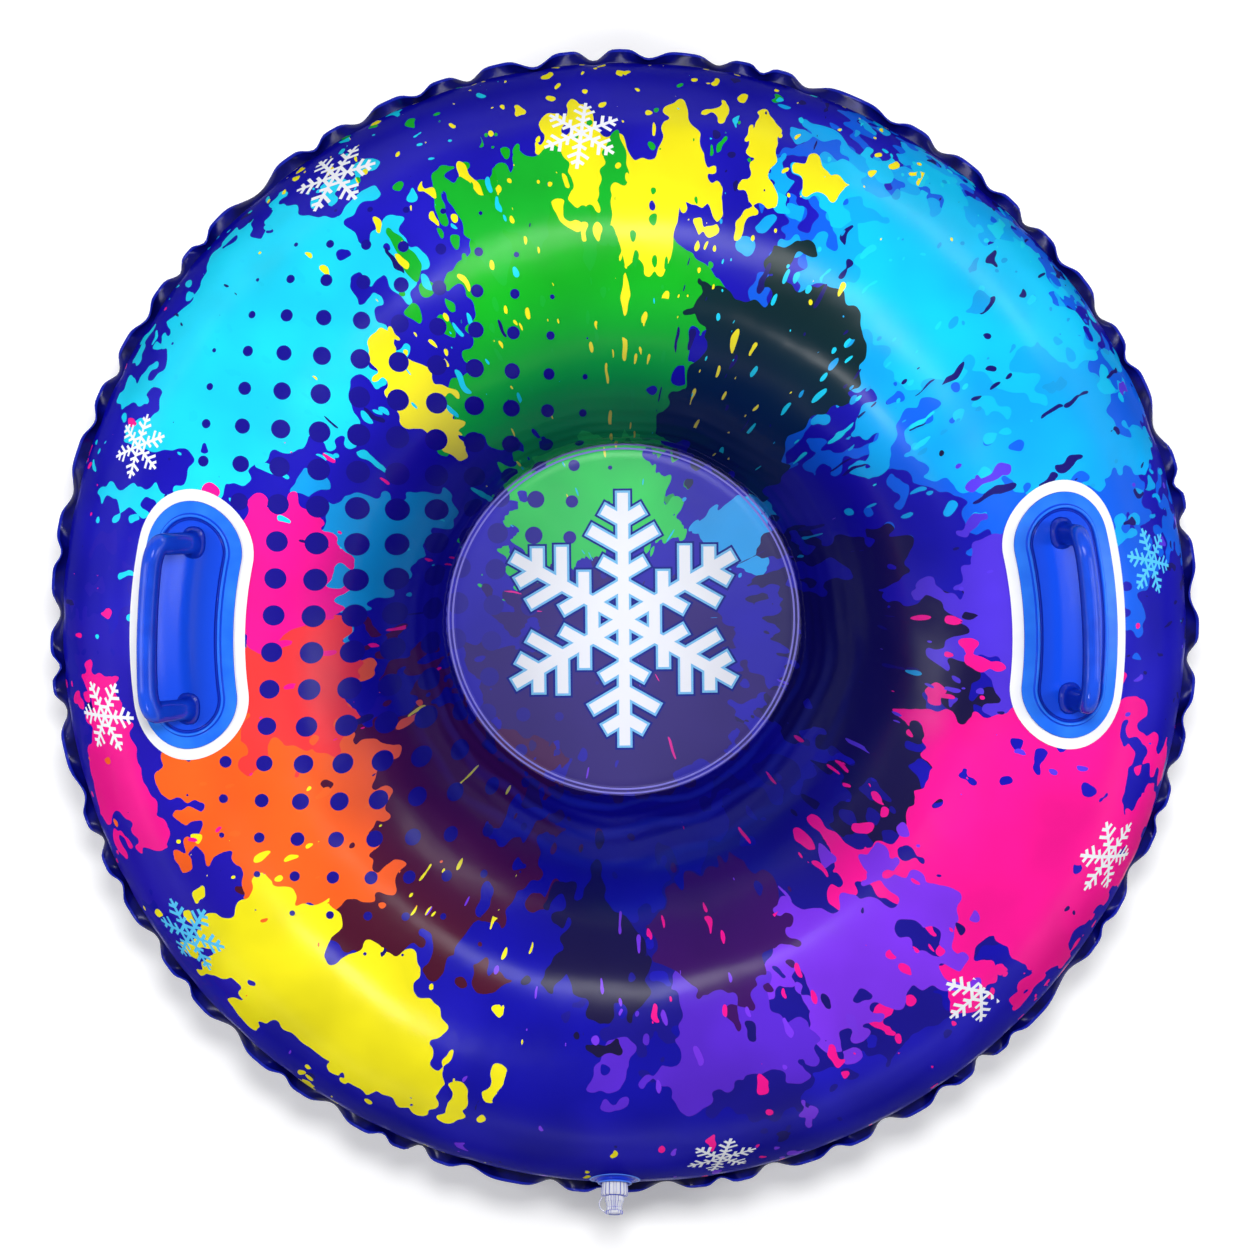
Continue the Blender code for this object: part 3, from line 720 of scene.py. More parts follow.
    def material(self, face: SheetFace) -> Material:
        """The finished material of one printed face.

        Args:
            face: Which face it is for.

        Returns:
            The new material.
        """
        material, tree = new_material(f"printed_pvc_{face.value}")
        (_, grain), bump = rippled(tree, (self.peel, self.grain))
        smooth, dull = self.roughness
        rough = add_node(tree, "MapRange", {0: grain, 3: smooth, 4: dull})
        ink = {"Base Color": InkLayers(self, tree).printed(face), "Normal": bump}
        shader = glossy_to_matt(tree, ink, rough, self.ior, self.matt_share)
        add_node(tree, "OutputMaterial", {0: shader})
        return material


@dataclass
class InkLayers:
    """One sheet's print while it is laid, ink over ink, in millimetres on the flat sheet."""

    look: PrintedVinyl
    tree: Tree

    def __post_init__(self) -> None:
        """Reads where each point lies on the flat sheet, and starts with the bare blue."""
        flat = add_node(self.tree, "UVMap", uv_map=FLAT_MAP)
        self.sheet = add_node(self.tree, "VectorMath", {0: flat, 3: 1 / MM}, operation="SCALE")
        self.reach = add_node(self.tree, "VectorMath", {0: self.sheet}, 1, operation="LENGTH")
        self.way = add_node(self.tree, "VectorMath", {0: self.sheet}, operation="NORMALIZE")
        right, self.to_back, _ = add_node(self.tree, "SeparateXYZ", {0: self.sheet}).node.outputs
        self.angle = add_node(self.tree, "Math", {0: self.to_back, 1: right}, operation="ARCTAN2")
        self.crumbs = self.field(self.look.crumb_mm, 0.0, output=1)
        self.color: Any = linear(self.look.base)

    def lay(self, mask: Socket | float, ink: Socket | str) -> None:
        """Lays one more ink over the print.

        Args:
            mask: How much of it goes where, from 0 to 1.
            ink: Its sRGB hex colour, or a colour's socket.
        """
        shade = linear(ink) if isinstance(ink, str) else ink
        self.color = add_node(
            self.tree, "Mix", {0: mask, 6: self.color, 7: shade}, 2, data_type="RGBA", clamp_factor=True
        )

    def field(
        self,
        size_mm: float,
        detail: float,
        octave_share: float = 0.5,
        shift: Point = (0, 0, 0),
        output: int = 0,
    ) -> Socket:
        """A random field over the flat sheet.

        Args:
            size_mm: The size of its lumps.
            detail: How many finer octaves it has.
            octave_share: How strong each finer octave is beside the one before.
            shift: Where in the endless noise it starts.
            output: 0 for one value, or 1 for three, as a colour.

        Returns:
            The field's socket.
        """
        place = add_node(self.tree, "Mapping", {0: self.sheet, 1: shift, 3: (1 / size_mm,) * 3})
        noise = {0: place, "Scale": 1.0, "Detail": detail, "Roughness": octave_share}
        return add_node(self.tree, "TexNoise", noise, output)

    def streaks(self, across_mm: float, along_mm: float) -> Socket:
        """Coordinates whose cells are drawn out away from the sheet's middle, with no seam around it.

        Args:
            across_mm: A cell's width around the middle, at the crown.
            along_mm: A cell's length away from the middle.

        Returns:
            The coordinates' socket.
        """
        cells = self.look.streak_ring_mm / across_mm
        ring = add_node(self.tree, "VectorMath", {0: self.way, 3: cells}, operation="SCALE")
        depth = add_node(self.tree, "Math", {0: self.reach, 1: 1 / along_mm}, operation="MULTIPLY")
        lift = add_node(self.tree, "CombineXYZ", {2: depth})
        return add_node(self.tree, "VectorMath", {0: ring, 1: lift}, operation="ADD")

    def looked_up(self, place: Socket, rows: Sequence[tuple[float, Sequence[float]]]) -> Socket:
        """Looks up a row of four values, each row holding until the next one starts.

        Args:
            place: Where to look, from 0 to 1.
            rows: Each row's start and its values.

        Returns:
            The values' socket, as a colour.
        """
        values = add_node(self.tree, "ValToRGB", {0: place})
        stops = values.node.color_ramp
        stops.interpolation = "CONSTANT"
        stops.elements.remove(stops.elements[1])
        stops.elements[0].color = rows[0][1]
        for start, row in rows[1:]:
            stops.elements.new(start).color = row
        return values

    def ground(self) -> None:
        """Lays the blue under the splashes, which grows darker towards the valve side, and darker still
        towards the rim as painted shade on the outer flank.
        """
        look = self.look
        front, valve = look.front_to_valve_mm
        self.lay(add_node(self.tree, "MapRange", {0: self.to_back, 1: front, 2: valve}), look.base_deep)
        low, high = look.airbrush_band
        cloud = {0: self.field(look.airbrush_mm, 1.0), 1: low, 2: high, 3: 0.0, 4: look.airbrush_share}
        self.lay(add_node(self.tree, "MapRange", cloud), look.base_light)
        start, end = look.rim_from_mm
        self.lay(add_node(self.tree, "MapRange", {0: self.reach, 1: start, 2: end}), look.rim_shade)

    def splash(self, blot: Blot, fields: Sequence[Socket]) -> None:
        """Lays one blot.

        Args:
            blot: The blot.
            fields: The lumpy, the streaky and the fine random field that break up its edge.
        """
        angle = math.radians(blot.azimuth)
        middle = (blot.radius * math.cos(angle), blot.radius * math.sin(angle), 0)
        ellipse = {0: self.sheet, 1: middle, 2: (0, 0, angle), 3: (blot.reach, blot.spread, 1)}
        local = add_node(self.tree, "Mapping", ellipse, vector_type="TEXTURE")
        far = add_node(self.tree, "VectorMath", {0: local}, 1, operation="LENGTH")
        edge = add_node(self.tree, "Math", {0: 1.0, 1: far}, operation="SUBTRACT")
        for share, field in zip((blot.splash, blot.drips, self.look.spray_share), fields):
            centred = {0: field, 1: share, 2: -share / 2}
            swing = add_node(self.tree, "Math", centred, operation="MULTIPLY_ADD")
            edge = add_node(self.tree, "Math", {0: edge, 1: swing}, operation="ADD")
        self.lay(add_node(self.tree, "Math", {0: edge, 1: 0.0}, operation="GREATER_THAN"), blot.color)

    def splashes(self) -> None:
        """Lays every blot, each with edges of its own."""
        lumps: list[Socket] = []
        for size_mm, shift in zip(self.look.lump_sizes_mm, self.look.lump_shifts):
            noise = self.field(size_mm, 2.0, 0.42, (shift, 0, shift), 1)
            lumps += list(add_node(self.tree, "SeparateColor", {0: noise}).node.outputs)
        streak = self.streaks(*self.look.drip_cell_mm)
        streaky = {0: streak, "Scale": 1.0, "Detail": 1.0, "Roughness": 0.4}
        noise = add_node(self.tree, "TexNoise", streaky, 1)
        drips = add_node(self.tree, "SeparateColor", {0: noise}).node.outputs
        spray = add_node(self.tree, "SeparateColor", {0: self.crumbs}).node.outputs
        for number, blot in enumerate(self.look.blots):
            self.splash(blot, (lumps[number % 6], drips[number % 3], spray[number % 3]))

    def zone_ink(self, jitter: Socket) -> Socket:
        """The droplets' ink, which follows the splashes around the tube.

        Args:
            jitter: A random value for each droplet, from 0 to 1.

        Returns:
            The colour's socket.
        """
        blur = self.look.zone_blur
        scaled = {0: self.angle, 1: 0.5 / math.pi, 2: 0.5 - blur / 2}
        turn = add_node(self.tree, "Math", scaled, operation="MULTIPLY_ADD")
        place = add_node(self.tree, "Math", {0: jitter, 1: blur, 2: turn}, operation="MULTIPLY_ADD")
        return self.looked_up(place, [(start, linear(ink)) for start, ink in self.look.zones])

    def drops(self, scatter: Scatter) -> None:
        """Scatters droplets, one to a cell, most of them small.

        Args:
            scatter: The droplets' size, fill and ink.
        """
        tree, look = self.tree, self.look
        streak = self.streaks(scatter.across_mm, scatter.along_mm)
        place = add_node(tree, "VectorMath", {0: streak, 1: (scatter.shift,) * 3}, operation="ADD")
        ragged = {0: self.crumbs, 1: (look.droplet_raggedness,) * 3, 2: place}
        rough = add_node(tree, "VectorMath", ragged, operation="MULTIPLY_ADD")
        cell = add_node(tree, "TexVoronoi", {0: rough, "Scale": 1.0, "Randomness": 1.0})
        pick = add_node(tree, "SeparateColor", {0: cell.node.outputs[1]}).node.outputs
        small = add_node(tree, "Math", {0: pick[0], 1: look.droplet_power}, operation="POWER")
        radius = add_node(tree, "Math", {0: small, 1: scatter.largest}, operation="MULTIPLY")
        inside = add_node(tree, "Math", {0: cell, 1: radius}, operation="LESS_THAN")
        angle = math.radians(scatter.azimuth)
        middle = (math.cos(angle), math.sin(angle), 0)
        near = add_node(tree, "VectorMath", {0: self.way, 1: middle}, 1, operation="DOT_PRODUCT")
        (few, many), (start, end) = look.crowding_from, look.droplets_from_mm
        kept = add_node(tree, "MapRange", {0: near, 1: few, 2: many, 3: scatter.kept, 4: scatter.crowded})
        out = add_node(tree, "MapRange", {0: self.reach, 1: start, 2: end, 3: look.inner_droplets, 4: 1.0})
        kept = add_node(tree, "Math", {0: kept, 1: out}, operation="MULTIPLY")
        there = add_node(tree, "Math", {0: pick[1], 1: kept}, operation="LESS_THAN")
        mask = add_node(tree, "Math", {0: inside, 1: there}, operation="MULTIPLY")
        self.lay(mask, scatter.ink or self.zone_ink(pick[2]))

    def ink_density(self) -> None:
        """Varies how thickly the inks lie, in soft washes."""
        wash = self.field(self.look.wash_mm, 2.0, 0.4, (7, 3, 0))
        (low, high), (thin, thick) = self.look.wash_band, self.look.wash_density
        density = add_node(self.tree, "MapRange", {0: wash, 1: low, 2: high, 3: thin, 4: thick})
        washed = {0: 1.0, 6: self.color, 7: density}
        self.color = add_node(self.tree, "Mix", washed, 2, data_type="RGBA", blend_type="MULTIPLY")

    def halftone(self) -> None:
        """Prints a fading field of round dots, all dots of one cell alike."""
        tree, look, spacing = self.tree, self.look, self.look.dot_spacing_mm
        turn, size = (0, 0, look.dot_grid_turn), (1 / spacing,) * 3
        grid = add_node(tree, "Mapping", {0: self.sheet, 1: look.dot_grid_shift, 2: turn, 3: size})
        cell = add_node(tree, "VectorMath", {0: grid}, operation="FLOOR")
        middle = add_node(tree, "VectorMath", {0: cell, 1: (0.5, 0.5, 0)}, operation="ADD")
        off = add_node(tree, "VectorMath", {0: grid, 1: middle}, 1, operation="DISTANCE")
        x, y, half_width, half_height = (value / spacing for value in look.dot_region)
        ellipse = {0: middle, 1: (x, y, 0.5), 3: (half_width, half_height, 1)}
        region = add_node(tree, "Mapping", ellipse, vector_type="TEXTURE")
        far = add_node(tree, "VectorMath", {0: region}, 1, operation="LENGTH")
        shrink = add_node(tree, "Math", {0: far, 1: look.dot_fading_power}, operation="POWER")
        largest = look.largest_dot_share
        size = add_node(tree, "Math", {0: shrink, 1: -largest, 2: largest}, operation="MULTIPLY_ADD")
        self.lay(add_node(tree, "Math", {0: off, 1: size}, operation="LESS_THAN"), look.dot_color)

    def crystal(self, local: Socket) -> Socket:
        """Distance from the lines of a plain six-armed snow crystal of radius 1, below 0 on the lines.

        Args:
            local: Coordinates from the crystal's middle.

        Returns:
            The distance's socket.
        """
        tree = self.tree
        x, y, _ = add_node(tree, "SeparateXYZ", {0: local}).node.outputs
        angle = add_node(tree, "Math", {0: y, 1: x}, operation="ARCTAN2")
        folded = add_node(tree, "Math", {0: angle, 1: math.pi / 6}, operation="PINGPONG")
        reach = add_node(tree, "VectorMath", {0: local}, 1, operation="LENGTH")
        waves = [add_node(tree, "Math", {0: folded}, operation=wave) for wave in ("COSINE", "SINE")]
        x, y = (add_node(tree, "Math", {0: reach, 1: wave}, operation="MULTIPLY") for wave in waves)
        wedge = add_node(tree, "CombineXYZ", {0: x, 1: y})
        nearest: Any = 1.0
        for start, length, turn in self.look.flake_bars:
            way = math.radians(turn)
            middle = (start + length / 2 * math.cos(way), length / 2 * math.sin(way), 0)
            beside = add_node(tree, "Mapping", {0: wedge, 1: middle, 2: (0, 0, way)}, vector_type="TEXTURE")
            size = add_node(tree, "VectorMath", {0: beside}, operation="ABSOLUTE")
            bar = (length / 2, self.look.flake_line_share / 2, 0)
            past = add_node(tree, "VectorMath", {0: size, 1: bar}, operation="SUBTRACT")
            along, across, _ = add_node(tree, "SeparateXYZ", {0: past}).node.outputs
            edge = add_node(tree, "Math", {0: along, 1: across}, operation="MAXIMUM")
            nearest = add_node(tree, "Math", {0: nearest, 1: edge}, operation="MINIMUM")
        return nearest

    def flakes(self) -> None:
        """Prints a loose ring of snow crystals near the rim, one to a sector of the table."""
        tree, look = self.tree, self.look
        count = len(look.flake_table)
        turns = add_node(tree, "Math", {0: self.angle, 1: count / (2 * math.pi)}, operation="MULTIPLY")
        sector = add_node(tree, "Math", {0: turns}, operation="ROUND")
        number = add_node(tree, "Math", {0: sector, 1: float(count), 2: 0.0}, operation="WRAP")
        entry = add_node(tree, "Math", {0: number, 1: 1 / count, 2: 0.5 / count}, operation="MULTIPLY_ADD")
        table = self.looked_up(entry, [(index / count, row) for index, row in enumerate(look.flake_table)])
        sway, ring, turn = add_node(tree, "SeparateColor", {0: table}).node.outputs
        placed = add_node(tree, "Math", {0: sector, 1: sway}, operation="ADD")
        undone = {0: placed, 1: -2 * math.pi / count, 2: math.pi / count}
        back = add_node(tree, "Math", undone, operation="MULTIPLY_ADD")
        turning = {"Vector": self.sheet, "Angle": back}
        level = add_node(tree, "VectorRotate", turning, rotation_type="Z_AXIS")
        inner, outer = look.flake_ring_mm
        ring = add_node(tree, "MapRange", {0: ring, 3: inner, 4: outer})
        middle = add_node(tree, "CombineXYZ", {0: ring})
        near = add_node(tree, "VectorMath", {0: level, 1: middle}, operation="SUBTRACT")
        turned = add_node(tree, "VectorRotate", {"Vector": near, "Angle": turn}, rotation_type="Z_AXIS")
        scaled = {0: table.node.outputs[1], 1: look.flake_radius_mm, 2: look.least_flake_mm}
        size = add_node(tree, "Math", scaled, operation="MULTIPLY_ADD")
        scale = add_node(tree, "Math", {0: 1.0, 1: size}, operation="DIVIDE")
        local = add_node(tree, "VectorMath", {0: turned, 3: scale}, operation="SCALE")
        mask = add_node(tree, "Math", {0: self.crystal(local), 1: 0.0}, operation="LESS_THAN")
        self.lay(mask, look.flake_white)
        for index in look.blue_flakes:
            own = add_node(tree, "Math", {0: number, 1: float(index), 2: 0.5}, operation="COMPARE")
            blue = add_node(tree, "Math", {0: mask, 1: own}, operation="MULTIPLY")
            self.lay(blue, look.flake_blue)

    def paint_well_shade_and_highlights(self) -> None:
        """Paints shade down the seat wall, darkening the print there, and paints pale highlights as fine
        waves on the wall towards the valve.
        """
        tree, look = self.tree, self.look
        # Painted shade down the seat wall.
        start, end = look.well_shade_from_mm
        deep = {0: self.reach, 1: start, 2: end, 3: look.well_shade_share, 4: 0.0}
        self.lay(add_node(tree, "MapRange", deep, interpolation_type="SMOOTHSTEP"), look.well_shade)
        # Painted highlights: pale waves near the seat, faded out up the wall and away from the valve's
        # side.
        wander = {0: self.field(look.wander_size_mm, 1.0), 1: look.wave_wander_mm, 2: self.reach}
        line = add_node(tree, "Math", wander, operation="MULTIPLY_ADD")
        turns = 2 * math.pi / look.wave_spacing_mm
        swing = add_node(tree, "Math", {0: line, 1: turns}, operation="MULTIPLY")
        wave = add_node(tree, "Math", {0: swing}, operation="SINE")
        mask = add_node(tree, "MapRange", {0: wave, 1: look.wave_crest, 2: 1.0, 3: 0.0, 4: look.wave_highlight_share})
        (foot, top), (front, valve) = look.waves_end_mm, look.waves_front_mm
        up_the_wall = {0: self.reach, 1: foot, 2: top, 3: 1.0, 4: 0.0}
        for limit in (up_the_wall, {0: self.to_back, 1: front, 2: valve}):
            fade = add_node(tree, "MapRange", limit)
            mask = add_node(tree, "Math", {0: mask, 1: fade}, operation="MULTIPLY")
        self.lay(mask, look.wave_highlight)

    def paint_weld_highlights(self) -> None:
        """Paints pale highlights on the ridges of the seat's double weld."""
        for radius in self.look.weld_highlight_radii_mm:
            ridge = {0: self.reach, 1: radius, 2: self.look.weld_highlight_half_mm}
            self.lay(add_node(self.tree, "Math", ridge, operation="COMPARE"), self.look.weld_highlight)

    def seat_flake(self) -> None:
        """Prints one large snow crystal with a pale and a dark edge in the middle of the seat."""
        size = (self.look.seat_flake_radius_mm,) * 3
        turned = {0: self.sheet, 2: (0, 0, self.look.seat_flake_turn), 3: size}
        edge = self.crystal(add_node(self.tree, "Mapping", turned, vector_type="TEXTURE"))
        for margin, ink in self.look.seat_flake_inks:
            self.lay(add_node(self.tree, "Math", {0: edge, 1: margin}, operation="LESS_THAN"), ink)

    def printed(self, face: SheetFace) -> Socket:
        """Lays the whole print of one face.

        Args:
            face: Which face is printed.

        Returns:
            The colour's socket.
        """
        self.ground()
        self.splashes()
        for scatter in self.look.scatters:
            self.drops(scatter)
        self.ink_density()
        self.halftone()
        self.flakes()
        if face is SheetFace.TUBE:
            self.paint_well_shade_and_highlights()
        else:
            # A pale haze, partly milky sheet and partly painted sheen.
            self.lay(self.look.haze_and_sheen_share, self.look.haze_and_sheen)
            self.paint_weld_highlights()
            self.seat_flake()
        return self.color


@dataclass(frozen=True)
class PlainVinyl:
    """Plain glossy PVC, moulded or calendered, with a faint waviness and a fine grain in its gloss.

    The waviness makes long reflections wander, and the grain softens their edges. The accent is a second
    tone that is painted shade in grooves, recesses and on shaded flanks, or a painted highlight along lit
    edges, and the deepest tone is where the mark is strongest.
    """

    name: str
    color: str
    deep: str
    roughness: float = 0.22
    wave: Ripple = Ripple(18.0, 0.5, 0.4)
    grain: Ripple = Ripple(0.9, 0.05, 0.3)
    ior: float = 1.4
    accent: str = ""
    deepest: str = ""
    matt_share: float = 0.6
    roughness_swing: tuple[float, float] = (-0.05, 0.06)
    tone_band: tuple[float, float] = (0.3, 0.7)

    def material(self) -> Material:
        """The finished material.

        Returns:
            The new material.
        """
        material, tree = new_material(self.name)
        (cloud, grain), bump = rippled(tree, (self.wave, self.grain))
        low, high = self.tone_band
        share = add_node(tree, "MapRange", {0: cloud, 1: low, 2: high})
        tones = {0: share, 6: linear(self.color), 7: linear(self.deep)}
        tint = add_node(tree, "Mix", tones, 2, data_type="RGBA")
        if self.accent:
            marked = add_node(tree, "Attribute", output=2, attribute_name=ACCENT)
            for tone, start in ((self.accent, 0.0), (self.deepest or self.accent, 0.5)):
                part = add_node(tree, "MapRange", {0: marked, 1: start, 2: start + 0.5})
                tint = add_node(tree, "Mix", {0: part, 6: tint, 7: linear(tone)}, 2, data_type="RGBA")
        smooth, dull = (self.roughness + swing for swing in self.roughness_swing)
        rough = add_node(tree, "MapRange", {0: grain, 3: smooth, 4: dull})
        face = {"Base Color": tint, "Normal": bump}
        shader = glossy_to_matt(tree, face, rough, self.ior, self.matt_share)
        add_node(tree, "OutputMaterial", {0: shader})
        return material


@dataclass(frozen=True)
class ClearVinyl:
    """Injection-moulded clear PVC, slightly milky, with the soft ripple that moulding leaves.

    It is milky white where it faces the eye, and its faces that turn away are painted the tube's blue, as a
    painted reflection.
    """

    color: str = "#fafbff"
    # Painted reflection of the tube's blue, on the faces that turn away from the eye.
    edge: str = "#2c48e2"
    edge_from: tuple[float, float] = (0.12, 0.6)
    roughness: tuple[float, float] = (0.04, 0.14)
    transmission: float = 0.3
    ior: float = 1.53
    ripple: Ripple = Ripple(3.0, 0.1, 0.3, 1.0)

    def material(self) -> Material:
        """The finished material.

        Returns:
            The new material.
        """
        material, tree = new_material("clear_moulded_pvc")
        (ripple,), bump = rippled(tree, (self.ripple,))
        smooth, dull = self.roughness
        rough = add_node(tree, "MapRange", {0: ripple, 3: smooth, 4: dull})
        # Painted reflection: faces that turn away are tinted towards the tube's blue.
        turned = add_node(tree, "LayerWeight", {0: 0.5}, 1)
        facing, edge_on = self.edge_from
        thick = add_node(tree, "MapRange", {0: turned, 1: facing, 2: edge_on})
        tones = {0: thick, 6: linear(self.color), 7: linear(self.edge)}
        tint = add_node(tree, "Mix", tones, 2, data_type="RGBA")
        face = {"Base Color": tint, "Roughness": rough, "Normal": bump}
        clear = {"IOR": self.ior, "Transmission Weight": self.transmission}
        add_node(tree, "OutputMaterial", {0: add_node(tree, "BsdfPrincipled", {**face, **clear})})
        return material


@dataclass
class Finishes:
    """The finishes of the whole tube."""

    tube_print: Material
    seat_print: Material
    underside: Material
    ruffle: Material
    patch: Material
    handle: Material
    grip: Material
    collar: Material
    clear: Material

    @classmethod
    def made(cls) -> "Finishes":
        """Makes every finish once.

        Returns:
            The finishes.
        """
        printed = PrintedVinyl()
        broad = Ripple(24.0, 0.25, 0.4)
        return cls(
            tube_print=printed.material(SheetFace.TUBE),
            seat_print=printed.material(SheetFace.SEAT),
            # Heavier sheet with a coarse calendered grain, which spreads its shine.
            underside=PlainVinyl(
                "plain_pvc_underside", "#1410a0", "#0e0c84", 0.3, grain=Ripple(2.2, 0.05, 0.3)
            ).material(),
            # A smooth margin of deep blue sheet, painted darker as the shade under the tube's bulge, with a
            # painted highlight along its outer lip.
            ruffle=PlainVinyl("welded_pvc_margin", "#080b74", "#040540", 0.2, accent="#1624aa").material(),
            # White film, almost flat, which stays plain white.
            patch=PlainVinyl(
                "white_pvc_sheet", "#f2f3f8", "#eceef5", 0.3, Ripple(40.0, 0.2, 0.4)
            ).material(),
            # Moulded in a polished tool, with a crisp shine on the bead; its deeper blues on the recessed
            # floor, in the groove and on the outer side wall are painted shade.
            handle=PlainVinyl(
                "blue_moulded_pvc",
                "#2a7cf6",
                "#1d6aee",
                0.17,
                broad,
                ior=1.5,
                accent="#1048dc",
                deepest="#0a2cac",
            ).material(),
            # The same, in a deeper blue, with painted shade on the bar's faces that turn away from the
            # base.
            grip=PlainVinyl(
                "deep_blue_moulded_pvc", "#164edc", "#1040c8", 0.13, broad, ior=1.56, accent="#0620a0"
            ).material(),
            # A moulded ring, with painted highlights along its rim and the crest of its boss.
            collar=PlainVinyl(
                "blue_welded_pvc", "#0f36d8", "#0c2cc4", 0.18, ior=1.5, accent="#4a80f2"
            ).material(),
            clear=ClearVinyl().material(),
        )


def set_accent(item: Piece, share: np.ndarray) -> None:
    """Stores how far each point has its finish's second colour.

    Args:
        item: The piece.
        share: One value from 0 to 1 for each point.
    """
    layer = item.data.attributes.new(ACCENT, "FLOAT", "POINT")
    layer.data.foreach_set("value", np.ascontiguousarray(share, np.float32).ravel())


def settle(
    item: Piece, material: Material, replaced: str, body: str | None = None
) -> None:
    """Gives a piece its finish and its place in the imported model.

    Args:
        item: The piece.
        material: Its finish.
        replaced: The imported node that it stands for.
        body: The body that it rides on, or None where it bends between two.
    """
    item.data.materials.append(material)
    if body is not None:
        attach(item, body)
    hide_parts(replaced)
    log.info("%s: %d faces, for %s", item.name, len(item.data.polygons), replaced)


@dataclass
class InflatedBody:
    """The two welded sheets, the seat floor between them and the gathered rim."""

    section: InflatedSection
    finishes: Finishes
    pucker: Pucker
    columns: int = 640
    top_rows: int = 116
    bottom_rows: int = 84
    seat_columns: int = 288
    seat_rows_above: int = 26
    seat_rows_below: int = 20
    top_crowding: float = 0.35
    bottom_crowding: float = 0.4
    ruffle_width: float = 11.6 * MM
    ruffle_thickness: float = 1.6 * MM
    ruffle_lip: float = 2.6 * MM
    ruffle_tilt: float = math.radians(74)
    ruffle_power: float = 2.2
    mean_tilt: float = 0.95
    tilt_swing: float = 0.12
    tilt_noise: SoftNoise = SoftNoise((4, 7, 12), 31)
    width_swing: float = 0.07
    width_noise: SoftNoise = SoftNoise((6, 11, 19), 17)
    ruffle_root_bend: float = 0.35
    # The half thickness of the ruffle's last two rows, as shares of its thickness: a rolled lip.
    ruffle_lip_shares: tuple[float, float] = (0.75, 0.35)
    ruffle_columns: int = 900
    ruffle_rows: int = 9
    pinch_reach: float = 15 * MM
    undulation: float = 0.3 * MM
    undulation_length: float = 90 * MM
    undulation_wander: float = 2.4
    wander_noise: SoftNoise = SoftNoise((3, 5, 8, 13), 21)
    sag_noise: SoftNoise = SoftNoise((2, 3, 5, 9), 12)
    wall_ripple: float = 0.55 * MM
    wall_ripple_length: float = 27 * MM
    wall_ripple_wander: float = 1.7
    wall_ripple_start: float = 14 * MM
    wall_ripple_fade: float = 135 * MM
    crease_count: int = 88
    crease_drift: float = 2.0
    crease_noise: SoftNoise = SoftNoise((6, 10, 15), 5)
    wall_crease: float = 0.6 * MM
    wall_crease_start: float = 5 * MM
    wall_crease_fade: float = 30 * MM
    weld_width: float = 8 * MM
    weld_ridge: float = 0.9 * MM

    def angles(self, count: int) -> np.ndarray:
        """Even angles around the tube."""
        return np.linspace(0, 2 * math.pi, count, endpoint=False)

    def turned(self, line: np.ndarray, push: np.ndarray, theta: np.ndarray) -> np.ndarray:
        """Turns a (radius, height) line around the tube, pushed out along its normals.

        Args:
            line: The section's points.
            push: How far out each point goes, for each row and angle.
            theta: The angles.

        Returns:
            Points as an array of rows, columns and 3.
        """
        normal = line_normals(line)
        radius = line[:, :1] + normal[:, :1] * push
        height = line[:, 1:] + normal[:, 1:] * push
        return around(radius, height, theta)

    def rim_push(self, to_rim: np.ndarray, theta: np.ndarray) -> np.ndarray:
        """How far the gathers draw a sheet in near the rim.

        Args:
            to_rim: Distance along the sheet to the rim, for each row.
            theta: The angles.

        Returns:
            The push for each row and angle.
        """
        fade = np.exp(-to_rim / self.pinch_reach)[:, None]
        long_fade = np.exp(-to_rim / (3 * self.pinch_reach))[:, None]
        pinch = self.pucker.pinch(theta)
        return -self.pucker.pinch_depth * fade * pinch - self.undulation * long_fade * pinch**2

    def top_sheet(self) -> None:
        """Builds and dresses the printed top sheet."""
        line = spaced(self.section.top_line(), self.top_rows, self.top_crowding)
        lengths = line_lengths(line)
        theta = self.angles(self.columns)
        push = self.rim_push(lengths[-1] - lengths, theta)
        along = lengths[:, None]
        wander = self.wander_noise.at(theta)
        turns = along / self.undulation_length * 2 * math.pi
        push += self.undulation * np.sin(turns + self.undulation_wander * wander)
        fade = np.exp(-((along / self.wall_ripple_fade) ** 2))
        wall = np.clip(along / self.wall_ripple_start, 0, 1) * fade
        turns = 2 * math.pi * along / self.wall_ripple_length
        push += self.wall_ripple * wall * np.sin(turns + self.wall_ripple_wander * wander)
        foot = np.exp(-along / self.wall_crease_fade) * np.clip(along / self.wall_crease_start, 0, 1)
        crease = np.sin(self.crease_count * theta + self.crease_drift * self.crease_noise.at(theta))
        push += self.wall_crease * foot * crease
        item = loft(TOP_SHEET, self.turned(line, push, theta))
        reach = self.section.print_radii(line)[:, None]
        self.lay_print(item, around(reach, 0, theta)[..., :2].reshape(-1, 2))
        settle(item, self.finishes.tube_print, "top_skin", "tube")

    def lay_print(self, item: Piece, flat: np.ndarray) -> None:
        """Stores where each point lies on the flat printed sheet.

        Args:
            item: The piece.
            flat: One flat place for each of its points, in metres.
        """
        mesh = item.data
        layer = mesh.uv_layers.new(name=FLAT_MAP)
        corners = np.zeros(len(mesh.loops), np.int32)
        mesh.loops.foreach_get("vertex_index", corners)
        layer.data.foreach_set("uv", flat[corners].astype(np.float32).ravel())

